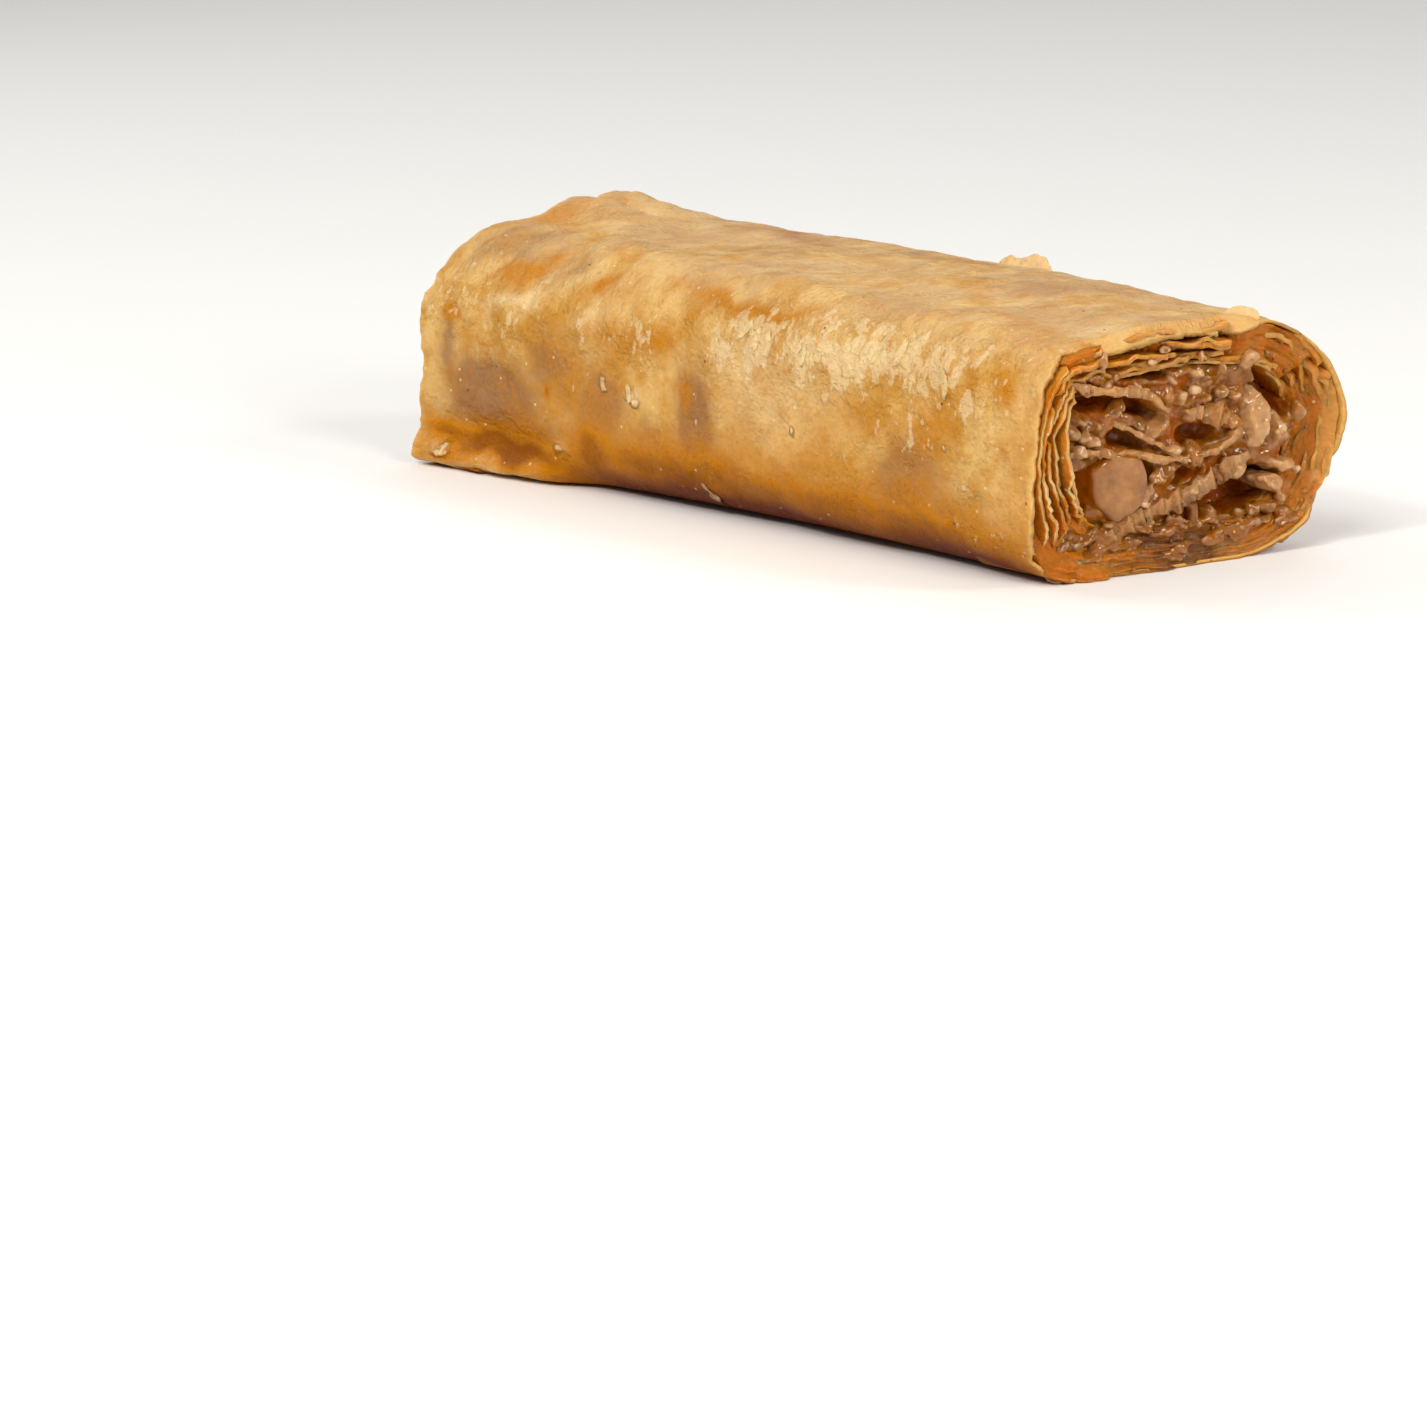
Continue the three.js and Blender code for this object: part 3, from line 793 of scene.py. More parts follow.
@dataclass(frozen=True)
class Patch:
    """A patch of the outer leaf: its side, middle, half sizes, strength and turn in that side.

    The middle is x and z on the front and the back, and x and y on the top. A patch that is stronger
    than its most has a plain middle and a sharper outline.
    """

    side: Side
    at: tuple[float, float]
    spread: tuple[float, float]
    strength: float
    turn: float = 0.0
    ragged: float = 1.7
    most: float = 1.0


def on_side(side: Side, rows: tuple[tuple[float, ...], ...]) -> tuple[Patch, ...]:
    """Patches on one side, from rows of x, z or y, both half sizes, strength, turn, raggedness and most."""
    return tuple(Patch(side, row[:2], row[2:4], *row[4:]) for row in rows)


# Pale patches of the outer leaf, one of which is painted sheen.
PALE_AND_PAINTED_SHEEN = on_side(
    Side.FRONT,
    (
        (5.5, 11.5, 6.5, 4.5, 0.6),
        (9, 15.6, 6, 1.5, 0.25),
        (19, 16.8, 4, 1.4, 0.25),
        (-17, 15, 3.2, 1.1, 0.7, 0.3),
        (-28, 15.2, 4.5, 0.9, 0.75, 0.25),
        (-25.5, 16.2, 1.6, 0.6, 0.8, 0.7),
        (31.5, 9, 1.6, 2.4, 0.35),
        (34, 14, 1.2, 2.4, 0.3, 0.2),
        (31, 5, 1.8, 1.2, 0.45),
        (-11.3, 8.9, 0.7, 0.5, 1.0),
        (-15.2, 9.8, 0.6, 0.5, 0.7),
        (-20.6, 3.4, 0.8, 0.7, 1.2, 0.0, 0.3),
        (-35.6, 1.7, 1.2, 0.5, 1.1, 0.0, 0.3),
        (-29.6, 12.7, 0.8, 0.3, 0.8),
        (-28, 0.4, 8, 0.4, 0.9, 0.0, 0.5),
        (-33, 1.3, 3.5, 0.5, 0.5, 0.1, 1.0),
        (-24, 1.2, 2.5, 0.4, 0.5, 0.15, 1.0),
        (-17.6, 12, 0.5, 0.8, 0.7),
        (-30, 18.6, 5, 0.7, 0.4, 0.1),
    ),
) + on_side(
    Side.TOP,
    (
        # Painted sheen near the front edge of the top, by the near cut.
        (34, -5.5, 2, 1.4, 0.8),
        (14, 8, 4, 1, 0.5),
        (-2, -7, 4, 0.8, 0.4),
        (-28, 5, 6, 2.5, 0.35),
    ),
)
# Toasted patches, some of which are painted shade.
# A strength up to 0.5 is amber, and from there to 1 it turns to reddish brown.
TOAST_AND_PAINTED_SHADE = on_side(
    Side.FRONT,
    (
        (-27.5, 17.2, 3.0, 0.7, 0.75, 0.2, 1.3, 0.42),
        # This row and the next two lie along the grooves between the far folds: painted fold shadow.
        (-31, 17.1, 1.6, 0.4, 0.4, 0.1),
        (-17.4, 17.4, 1.6, 0.5, 0.7, 0.35, 1.2, 0.4),
        (-24, 19.2, 2.4, 0.6, 0.9, 0.1, 1.3, 0.5),
        (-35.4, 13.4, 1.2, 0.6, 0.8, 0.0, 1.2, 0.45),
        (-31, 12, 1.2, 0.4, 0.4),
        (-22, 8.3, 0.35, 0.7, 1.0, 0.0, 0.4, 0.6),
        (-16.8, 3.6, 1.8, 1.8, 0.7, 0.0, 1.6, 0.5),
        (-4.4, 10.0, 1.0, 1.6, 0.6, 0.0, 1.6, 0.4),
        (-8, 14.5, 1.8, 0.8, 0.4, 0.3, 1.6, 0.3),
        (4, 17.6, 4.0, 0.9, 0.3, 0.05, 1.2, 0.22),
        (-3, 17.6, 2.6, 0.9, 0.3, 0.05, 1.2, 0.22),
        (27.2, 15.2, 0.7, 1.1, 0.6, 0.2, 1.2, 0.35),
        (-10, 13.5, 7, 1.2, 0.3),
        (-16, 8.5, 5, 3.5, 0.22),
        (-10, 4.2, 4, 1.2, 0.4),
        (31.3, 14.6, 0.9, 1.2, 0.5, 0.4, 0.6),
        (31.5, 10.4, 0.5, 1.2, 0.3, 0.5, 0.6),
        (-36, 3.2, 2.4, 1.0, 0.5, 0.0, 0.6),
        # These two fill the recess above the loose lip at the far foot: painted shadow.
        (-28, 2.6, 6.5, 1.0, 1.1, -0.04, 0.9, 0.75),
        (-27, 3.8, 7.5, 1.6, 0.45, 0.0, 1.2),
        (-34.5, 1.1, 2, 0.6, 0.4, 0.0, 0.6),
        (2, 17.7, 8, 0.5, 0.35, 0.0, 1.2),
        (24, 11.5, 3, 2.5, 0.2),
    ),
) + on_side(
    Side.TOP,
    (
        (-36, -3, 4, 3, 0.35, -0.5),
        (-18, -9, 3, 1, 0.25, -0.4),
        (30, -9, 4, 1.6, 0.25, -0.3),
    ),
)
SOAKED = on_side(
    Side.FRONT,
    (
        (-29, 6.6, 5.0, 3.0, 2.2, 0.0, 0.8, 0.85),
        (-35.2, 10.8, 1.0, 2.6, 0.9, 0.0, 0.7, 0.7),
        (-22, 11, 2.4, 2.0, 1.1, 0.0, 1.7, 0.6),
        (-26, 4.6, 7, 1.2, 0.8),
        (-15.5, 7.5, 2.6, 3, 1.5, 0.0, 1.3, 0.75),
        (-3.4, 7.8, 1.9, 3.4, 2.2, 0.1, 0.5, 0.85),
        (-9.5, 6, 1.6, 1.6, 0.8, 0.0, 1.3, 0.5),
        (21, 7.0, 3.0, 2.1, 1.9, 0.4, 0.7, 0.75),
        (25, 5, 4, 2, 0.4),
        (-31, 18.6, 5, 1.2, 0.75),
        (-22, 17.8, 1.4, 0.7, 0.6),
    ),
) + on_side(
    Side.TOP,
    (
        (0, 6.4, 4, 1.6, 0.6, -0.3),
        (8, 7.5, 4, 1.2, 0.5),
        (-14, 6, 4, 1.4, 0.5, -0.3),
        (-8, -2, 4, 2, 0.4),
        (-32, -8, 5, 2, 0.5),
        (20, 2, 6, 3, 0.3, 0.2),
    ),
)


def patched(patches: tuple[Patch, ...], points: Array, normals: Array, seed: int) -> Array:
    """How strongly a list of patches shows at each point.

    Args:
        patches: the patches.
        points: places on the surface.
        normals: the outward normals there.
        seed: for the ragged outlines of the patches.

    Returns:
        A number from 0 to 1 for each point.
    """
    ragged = np.stack([cloud(points, 3.0, seed + n, 4) for n in range(2)], -1)
    faces = {
        Side.FRONT: (2, rise(-normals[..., 1], 0.25, 0.7)),
        Side.TOP: (1, rise(normals[..., 2], 0.3, 0.75)),
        Side.BACK: (2, rise(normals[..., 1], 0.25, 0.7)),
    }
    clear = np.ones(points.shape[:-1])
    for one in patches:
        axis, seen = faces[one.side]
        away_x = points[..., 0] + one.ragged * ragged[..., 0] - one.at[0]
        away_v = points[..., axis] + one.ragged * ragged[..., 1] - one.at[1]
        along = away_x * math.cos(one.turn) + away_v * math.sin(one.turn)
        across = away_v * math.cos(one.turn) - away_x * math.sin(one.turn)
        strength = one.strength * bell(along, 0, one.spread[0]) * bell(across, 0, one.spread[1])
        clear = clear * (1 - np.clip(strength * seen, 0, one.most))
    return 1 - clear


def strewn(
    count: int, side: Side, seed: int, size: tuple[float, float], strength: float
) -> tuple[Patch, ...]:
    """Patches strewn over a side, in the manner of the front's.

    Args:
        count: how many.
        side: the side.
        seed: for their places.
        size: the largest half sizes.
        strength: the largest strength.

    Returns:
        The patches.
    """
    draw = np.random.default_rng(seed)
    return tuple(
        Patch(
            side,
            (draw.uniform(-34, 34), draw.uniform(3, 17)),
            (draw.uniform(0.5, 1) * size[0], draw.uniform(0.5, 1) * size[1]),
            strength * draw.uniform(0.6, 1),
            draw.uniform(-0.4, 0.4),
        )
        for _ in range(count)
    )


# A value of a cut on its front, its top, its back and its underside.
Sides = tuple[float, float, float, float]


@dataclass(frozen=True)
class CutLook:
    """How the leaves lie round a cut, with a value for each of its sides or for each place round it.

    They stand apart or stick together, each next one is cut further back, they are thin and crisp or
    swollen with syrup, their edges are ragged and pale, and where they are pressed tight they end
    inside the fused mass.
    """

    apart: Sides | Array
    step: Sides | Array
    thick: Sides | Array
    ragged: Sides | Array
    pale: Sides | Array
    merged: Sides | Array


LOOKS = {
    End.NEAR: CutLook(
        apart=(1.0, 0.26, 0.0, 0.1),
        step=(-0.12, 0.12, 0.5, 0.1),
        thick=(0.17, 0.3, 0.62, 0.3),
        ragged=(1.3, 1.3, 0.5, 1.0),
        pale=(0.8, 0.3, 0.06, 0.0),
        merged=(0.0, 0.42, 0.1, 1.0),
    ),
    End.FAR: CutLook(
        apart=(0.5, 0.6, 0.9, 0.15),
        step=(0.3, 0.2, -0.1, 0.1),
        thick=(0.34, 0.26, 0.2, 0.3),
        ragged=(1.0, 1.0, 0.9, 1.0),
        pale=(0.6, 0.7, 0.9, 0.1),
        merged=(0.1, 0.0, 0.0, 1.0),
    ),
}


def look_round(end: End, u: Array) -> CutLook:
    """The look of a cut at each place round it, blended from side to side."""
    normals = FORM.wound(end.t, u, 1.5)[1]
    y, z = normals[..., 1], normals[..., 2]
    parts = (rise(-y, 0.3, 0.8), rise(z, 0.4, 0.9), rise(y, 0.3, 0.8), rise(-z, 0.3, 0.8))
    whole = np.maximum(sum(parts), 1e-6)
    looks = (getattr(LOOKS[end], one.name) for one in fields(CutLook))
    return CutLook(*(sum(value * part for value, part in zip(values, parts)) / whole for values in looks))


@dataclass
class WoundWall:
    """The wall of the roll: the outer leaf, the leaves inside it at both cuts, and what fills them."""

    leaf: float = 0.3
    leaves: int = 5
    spacing: float = 0.3
    edge_spacing: float = 0.2
    skin_rows: int = 236
    packed_rows: int = 48
    edge_reach: float = 6.0
    edge_wave: float = 0.34
    edge_nibble: float = 0.26
    edge_teeth: float = 0.13
    bite: float = 0.9
    edge_fade: float = 3.5
    notch_fade: float = 3.0
    rim_wide: float = 0.28
    darker_near: float = 3.0
    droop: float = 1.0
    droop_reach: float = 0.9
    fold_dip: float = 0.42
    inmost: float = 0.35
    packed_inmost: float = 0.16
    lining_inmost: float = 0.3
    lining_thick: float = 0.24
    scraps_per_mm2: float = 0.7
    smallest_scrap: float = 0.4
    largest_scrap: float = 1.1
    fold_high: float = 0.22
    wrinkle_high: float = 0.05
    flake_high: float = 0.1
    blister_high: float = 0.2
    puff_high: float = 0.22
    layer_high: float = 0.28

    def edge_shift(self, end: End, leaf: int, u: Array, seed: int) -> Array:
        """How far the broken edge of a leaf stands past its cut, at each place round it."""
        look = look_round(end, u)
        points, _ = FORM.wound(end.t, u, 0.5 * leaf)
        nibbled = self.edge_nibble * cloud(points, 1.3, seed + 5, 3)
        shift = nibbled + self.edge_teeth * cloud(points, 0.42, seed + 9, 2)
        shift = look.ragged * shift + self.edge_wave * cloud(points, 5.0, seed)
        if leaf:
            shift = shift - self.bite * rise(cloud(points, 2.4, seed + 15, 2), 0.25, 0.5)
        return shift - look.step * leaf - 0.5 * look.merged

    def openness(self, end: End, u: Array) -> Array:
        """How far the leaves have parted round a cut: 1 where they stand apart, 0 where they are one."""
        points = FORM.wound(end.t, u, 1.5)[0]
        apart = look_round(end, u).apart + 0.12 * cloud(points, 5, 19, 2)
        for y, z, _, more in GAPS if end is End.NEAR else ():
            apart = apart + 0.1 * more * beside(u, y, z, 0.08)
        return apart

    def gaps(self, end: End, u: Array) -> Array:
        """The depth of each leaf at each place round the roll, which never cross.

        Args:
            end: the cut.
            u: the places round the roll.

        Returns:
            One row of depths for each leaf inside the outer one.
        """
        points, _ = FORM.wound(end.t, u, 1.5)
        apart = self.openness(end, u)
        shares = [
            np.exp((0.3 + 0.9 * apart) * cloud(points, (5, 5, 4), 60 + 7 * leaf + end.value, 2))
            for leaf in range(1, self.leaves + 1)
        ]
        for y, z, between, more in GAPS if end is End.NEAR else ():
            shares[between] = shares[between] + more * beside(u, y, z, 0.16)
        shares = np.array(shares)
        thick = look_round(end, u).thick
        room = FORM.wall - self.inmost - self.leaf - thick * self.leaves
        parted = self.leaf + np.cumsum(shares / shares.sum(axis=0) * room, axis=0)
        return parted + thick * np.arange(self.leaves)[:, None]

    def skin(self) -> Object:
        """The outer leaf, from cut to cut, with its folds, flakes and broken edges."""
        u = FORM.round_steps(self.spacing)
        ends = np.array([0, 0.1, 0.22, 0.36, 0.54, 0.78]) / HALF
        middle = np.linspace(-1 + 1.05 / HALF, 1 - 1.05 / HALF, self.skin_rows)
        t = np.concatenate([-1 + ends, middle, (1 - ends)[::-1]])[:, None]
        points, normals = FORM.wound(t, u, self.lowered(t, u), self.cut_shift(t, u))
        zone = self.flaky(points, normals)
        points = points + normals * self.relief(points, zone)[..., None]
        points[..., 2] = np.maximum(points[..., 2], 0.0)
        behind = np.array([0, 0.4, 1.0, 2.0, 4.0]) / HALF
        inside_t = np.concatenate([-1 + behind, np.linspace(-0.86, 0.86, 56), (1 - behind)[::-1]])[:, None]
        depth = self.lowered(inside_t, u) + self.leaf
        inside, _ = FORM.wound(inside_t, u, depth, self.cut_shift(inside_t, u))
        rows = np.concatenate([points, inside[::-1]])
        bake = np.zeros((*rows.shape[:2], 4))
        bake[: len(points)] = self.outer_bake(points, normals, t, u)
        bake[len(points) :, :, 1] = 0.55
        bake[len(points) :, :, 3] = 0.6 * np.exp(-np.abs(1 - np.abs(inside_t[::-1])) * HALF / 0.3)
        loose = np.zeros(rows.shape[:2])
        loose[: len(points)] = zone
        faces = tube_faces(len(rows), len(u))
        return mesh_object("outer_leaf", rows.reshape(-1, 3), faces, bake.reshape(-1, 4), loose.ravel())

    def cut_shift(self, t: Array, u: Array) -> Array:
        """How far the outer leaf's points are moved along X, by its broken edges."""
        fade = 1 - self.edge_fade / HALF
        near = rise(t, fade, 1) * self.edge_shift(End.NEAR, 0, u, 3)
        far = rise(-t, fade, 1) * self.edge_shift(End.FAR, 0, u, 4)
        for y, z, width, depth in NOTCHES:
            notch = depth * beside(u, y, z, width)
            near = near - notch * rise(t, 1 - self.notch_fade * max(depth, 1) / HALF, 1)
        return near - far

    def lowered(self, t: Array, u: Array) -> Array:
        """How far the outer leaf droops into the near cut along its top, or dips between two far folds."""
        over = rise(u, 1.95, 2.15) * rise(-u, -2.75, -2.6)
        dip = self.fold_dip * beside(u, 3.1, 20.0, 0.024, -1.0) * rise(-t, 0.72, 0.9)
        return self.droop * over * rise(t, 1 - self.droop_reach / HALF, 1.004) ** 1.5 + dip

    def relief(self, points: Array, zone: Array) -> Array:
        """How far the outer leaf stands out of the plain form: folds, wrinkles, flakes and blisters."""
        x, y, z = (points[..., axis] for axis in range(3))
        folds = np.maximum(1 - 3 * np.abs(cloud(points, (3.2, 6, 2.2), 23, 2)), -0.2)
        wrinkles = self.wrinkle_high * cloud(points, 1.1, 29, 3)
        flakes = self.flake_high * rise(zone + 0.3 * cloud(points, (0.9, 1.2, 2.4), 41, 2), 0.5, 0.75)
        blisters = self.blister_high * rise(-cells(points, 3.4, 37), -0.16, -0.05)
        puffs = self.puff_high * cloud(points, (2.6, 4, 2.6), 39, 2) * rise(x, 22, 30)
        layered = self.layer_high * cloud(points, (2.4, 3, 0.9), 45, 3)
        layered = layered * rise(-x, 18, 24) * rise(-z, -3.4, -1.6)
        high = self.fold_high * rise(-x, 12, 30) * folds + wrinkles + flakes + blisters + puffs
        return rise(z, 0.15, 1.6) * np.maximum(high, -0.08) + layered * rise(-y, 12, 14)

    def flaky(self, points: Array, normals: Array) -> Array:
        """How readily the outer leaf has flaked, from 0 to 1: most along its front shoulder."""
        x, z = points[..., 0], points[..., 2]
        front = rise(-normals[..., 1], 0.3, 0.75)
        back = rise(normals[..., 1], 0.3, 0.75)
        shoulder = front * bell(z, 15.2, 2.6) * rise(x, -9, 4) * rise(-x, -32, -23)
        other = 0.3 * front * bell(z, 14, 2.4) * rise(-x, 2, 12)
        other = other + 0.5 * back * bell(z, 14, 3) * bell(x, 4, 18)
        streaks = 0.12 * cloud(points, (1.0, 1.5, 3.5), 43, 2) + 0.3 * cloud(points, 3.4, 47, 2)
        near = 0.16 * front * rise(x, -4, 12)
        zone = np.clip(0.12 + 0.5 * shoulder + other + near + streaks, 0, 1) * rise(z, 1, 4)
        ragged = 0.9 * cloud(points, 1.1, 49, 3)
        for knot_x, knot_z, wide, high in KNOTS:
            knot = 1.5 * front * bell(x + ragged, knot_x, wide) * bell(z - ragged, knot_z, high)
            zone = np.maximum(zone, knot)
        return zone

    def outer_bake(self, points: Array, normals: Array, t: Array, u: Array) -> Array:
        """The pale, toasted, soaked and rim shares of the outer leaf, with painted shade and painted sheen
        in them.
        """
        x, z = points[..., 0], points[..., 2]
        noise = cloud(points, 5.0, 53, 3)
        above = rise(normals[..., 2], 0.4, 0.95)
        under = rise(-normals[..., 2], 0.2, 0.8)
        near = bell(1 - t, 0, self.darker_near / HALF)
        pale = patched(PALE_AND_PAINTED_SHEEN + strewn(16, Side.BACK, 5, (5, 2.5), 0.7), points, normals, 61)
        # Paler on the top, and greyer below: painted sheen where the broad light glances off the top.
        pale = 1 - (1 - pale) * (1 - above * np.clip(0.4 + 0.6 * noise, 0, 1))
        pale = 1 - (1 - pale) * (1 - 0.12 * near * rise(z, 1, 4))
        # Darker low on the front and on the underside: partly real toasting, partly painted shade where the
        # roll rests and faces down.
        foot = rise(-z, -8.5, -3.5) * rise(x, -24, -14) * (0.5 + 0.2 * noise)
        low = 0.25 * rise(-z, -3.0, -0.6) * rise(x, -26, -20)
        even = 1 - np.clip(0.3 * noise, 0, 1)
        toast_and_shade = patched(TOAST_AND_PAINTED_SHADE + strewn(14, Side.BACK, 6, (3, 1), 0.5), points, normals, 67)
        toast_and_shade = 1 - (1 - toast_and_shade) * (1 - np.clip(foot + low + 0.3 * under, 0, 1)) * even
        toast_and_shade = toast_and_shade * (1 - 0.75 * rise(-x, 22, 27) * rise(-z, -1.3, -0.3) * rise(-points[..., 1], 11, 13))
        toast_and_shade = 1 - (1 - toast_and_shade * (1 - 0.35 * near)) * (1 - 0.14 * near)
        soaked = patched(SOAKED + strewn(8, Side.BACK, 7, (6, 3), 0.8), points, normals, 71)
        # Greyer on the top: painted sheen.
        soaked = np.clip(soaked + 0.4 * above * np.clip(0.4 + noise, 0, 1), 0, 1)
        edge = np.maximum(*(np.exp(-inside * HALF / self.rim_wide) for inside in (1 - t, 1 + t)))
        edge_pale = np.where(t > 0, look_round(End.NEAR, u).pale, look_round(End.FAR, u).pale)
        rim = edge * (0.75 + 0.25 * noise) * edge_pale
        return bake_shares(pale, toast_and_shade, soaked * (1 - 0.7 * near), rim)

    def edge_leaves(self, end: End) -> Object:
        """The leaves inside the outer one, where the cut shows them."""
        hand = end.value
        u = FORM.round_steps(self.edge_spacing, 1.6)
        behind = np.array([0, 0.08, 0.18, 0.32, 0.55, 0.9, 1.4, 2.1, 3.2, self.edge_reach])[:, None]
        depths = self.gaps(end, u)
        look = look_round(end, u)
        place = FORM.wound(end.t, u, 1.0)[0]
        top = rise(look.thick, 0.17, 0.3)
        shut = 1 - np.clip(look.apart, 0, 1)
        wave = 0.14 * (1 + 2 * (look.ragged - 0.8))
        parts = []
        for leaf in range(1, self.leaves + 1):
            merged = look.merged + 0.5 * look.ragged * cloud(place, 3.0, 180 + leaf, 2) * top
            shift = self.edge_shift(end, leaf, u, 100 * leaf + 7 * hand) - 1.2 * rise(merged, 0.35, 0.75)
            dx = hand * (shift - behind)
            t = np.full_like(dx, end.t)
            curl = wave * cloud(place, 2.8, 90 + leaf, 2) * np.exp(-behind / 1.2)
            curl = curl + 0.5 * top * cloud(place, 1.7, 190 + leaf, 2) * np.exp(-behind / 1.6)
            depth = FORM.fanned(t, u, depths[leaf - 1] + curl)
            outer, normals = FORM.wound(t, u, depth, dx)
            swollen = 0.85 + 0.35 * np.exp(-behind / 0.25) + 0.4 * cloud(outer, 1.6, 120 + leaf, 2)
            inner, _ = FORM.wound(t, u, depth + look.thick * swollen, dx)
            wobble = 0.05 * cloud(outer, 0.8, 130 + leaf, 2) * np.exp(-behind / 1.5)
            outer = outer + normals * wobble[..., None]
            if hand < 0:
                outer, inner = outer[:, ::-1], inner[:, ::-1]
            points, faces = shell(outer[::-1], inner[::-1], True)
            rim = np.exp(-behind / 0.09) * (0.5 + 1.1 * cloud(outer, 1.6, 140 + leaf, 2)) * look.pale
            mottled = 0.25 * cloud(outer, 2.4, 145 + leaf, 2)
            # Darker further back from the broken edge, down in the gaps between the leaves: painted shade.
            toast_and_shade = 0.28 + 0.35 * rise(behind, 0.6, 3.0) + mottled - 0.22 * shut
            soaked = 0.15 + 0.4 * cloud(outer, 4.0, 150 + leaf, 2) + 0.4 * rise(-outer[..., 2], -4.5, -1.5)
            clear = rise(look.thick, 0.45, 0.6) * (0.65 - 0.1 * leaf)
            high = 0.5 * shut * (leaf < 3) * rise(outer[..., 2], 16, 18)
            pale = 0.3 * cloud(outer, 3.0, 155 + leaf, 2) + clear + high
            bake = bake_shares(pale, toast_and_shade, soaked, rim)[::-1].reshape(-1, 4)
            parts.append((points, faces, np.concatenate([bake, bake])))
        return joined(f"{end.name.lower()}_leaves", parts)

    def packed_leaves(self, end: End) -> Object:
        """What shows between the leaf edges: leaves pressed and stuck together, in fine layers."""
        u = FORM.round_steps(self.edge_spacing, 1.1)
        look = look_round(end, u)
        first = lerp(0.4, 0.08, rise(look.merged, 0.4, 0.9))
        depth = lerp(first, FORM.wall - self.packed_inmost, np.linspace(0, 1, self.packed_rows)[:, None])
        flat, normals = FORM.wound(end.t, u, depth)
        low = rise(-flat[..., 2], -5.4, -3.2) * rise(-normals[..., 2], -0.2, 0.5)
        shut = rise(-self.openness(end, u), -0.5, -0.2) + 0 * depth
        flush = rise(look.thick, 0.3, 0.6)
        across_layers = np.stack([flat[..., 1], flat[..., 0] * 0, depth + 0.16 * cloud(flat, 3, 205, 2)], -1)
        layers = cloud(across_layers, (4.0, 1, 0.2), 201, 2) * lerp(1.0, 0.35, flush)
        coarse = cloud(flat, (3, 3, 3), 203, 2)
        lumps = np.maximum(0.75 - cells(flat, 1.5, 207), 0) * rise(cloud(flat, 3.4, 209, 2), -0.1, 0.2)
        fine = 0.12 * cloud(flat, 0.5, 211, 2) + 0.25 * cloud(flat, 1.1, 212, 2)
        sunk = lerp(1.5 + 1.0 * coarse, lerp(0.4, 0.15, flush) + lerp(0.4, 0.1, flush) * coarse, shut)
        sunk = lerp(sunk, 0.6 + 0.5 * coarse, low)
        sunk = sunk + lerp(0.2, 0.35, low) * layers - lerp(0.7 * shut, 1.1, low) * lumps
        sunk = sunk + look.step * self.leaves * depth / FORM.wall
        sunk = sunk + lerp(0.5 * shut, 0.7, low) * fine
        fanned = FORM.fanned(end.t, u, depth + 0 * u)
        rows = FORM.wound(end.t, u, fanned, -end.value * np.maximum(sunk, -0.3))[0]
        behind = -end.value * (self.edge_reach + 2)
        back_out, back_in = (FORM.wound(end.t, u, depth[n] + 0 * u, behind)[0][None] for n in (0, -1))
        rows = np.concatenate([back_out, rows, back_in])
        wet = 0.45 + 0.6 * cloud(flat, 4.0, 213, 2)
        brown = bell(flat[..., 1], 1.0, 7.0) * (1 + 0.6 * cloud(flat, 3.0, 217, 2))
        rind = flush * rise(-depth, -1.9, -0.9)
        # Darker where the leaves stand apart and this face lies deep in the gap: painted shade.
        toasted_and_shaded = lerp(0.75, 0.38, shut) - 0.2 * layers - 0.2 * rind
        mottled = np.clip(0.25 - 0.25 * brown + 0.8 * cloud(flat, 1.0, 215, 2), 0, 1)
        bake = np.zeros((*rows.shape[:2], 4))
        bake[..., 1] = 0.8
        shown = bake[1:-1]
        shown[..., 0] = lerp(0.75 * rind, mottled, low)
        shown[..., 1] = lerp(toasted_and_shaded, 0.38 - 0.2 * layers - 0.38 * brown, low)
        shown[..., 2] = lerp(0.1 + 0.3 * shut - 0.3 * rind, 0.4 * wet + 0.95 * brown, low)
        shown[..., 3] = low * rise(layers, 0.1, 0.7) * (0.15 + 0.3 * np.clip(1 - brown, 0, 1))
        faces = tube_faces(len(rows), len(u))
        name = f"{end.name.lower()}_packed_leaves"
        return mesh_object(name, rows.reshape(-1, 3), faces, bake.reshape(-1, 4))

    def lining(self) -> Object:
        """The innermost leaf, which shows in the hollows: smooth, soaked and deep in colour, darker further
        in as painted shade.
        """
        u = FORM.round_steps(0.5, 1.0)
        behind = np.array([0, 0.15, 0.35, 0.7, 1.2, 2, 3, 4.5, 6.5, 9, 12])
        t = np.concatenate([-1 + behind / HALF, (1 - behind / HALF)[::-1]])[:, None]
        near = rise(t, 0.9, 1) * (self.edge_shift(End.NEAR, self.leaves, u, 77) - 0.25)
        far = rise(-t, 0.9, 1) * (self.edge_shift(End.FAR, self.leaves, u, 78) - 0.25)
        base = FORM.wound(t, u, 1.0)[0]
        depth = FORM.fanned(t, u, FORM.wall - self.lining_inmost + 0.18 * cloud(base, 2.4, 81, 2))
        outer = FORM.wound(t, u, depth, near - far)[0]
        inner = FORM.wound(t, u, depth + self.lining_thick, near - far)[0]
        points, faces = shell(outer, inner, True)
        inside = np.minimum(1 - t, 1 + t) * HALF
        rim = np.exp(-inside / 0.25) * 0.5 + 0.0 * u
        # Darker the further in from the cut: painted shade.
        toast_and_shade = 0.4 + 0.5 * rise(inside, 0.0, 5.0)
        bake = bake_shares(0.0, toast_and_shade, 0.25, rim).reshape(-1, 4)
        return mesh_object("inner_leaf", points, faces, np.concatenate([bake, bake]))

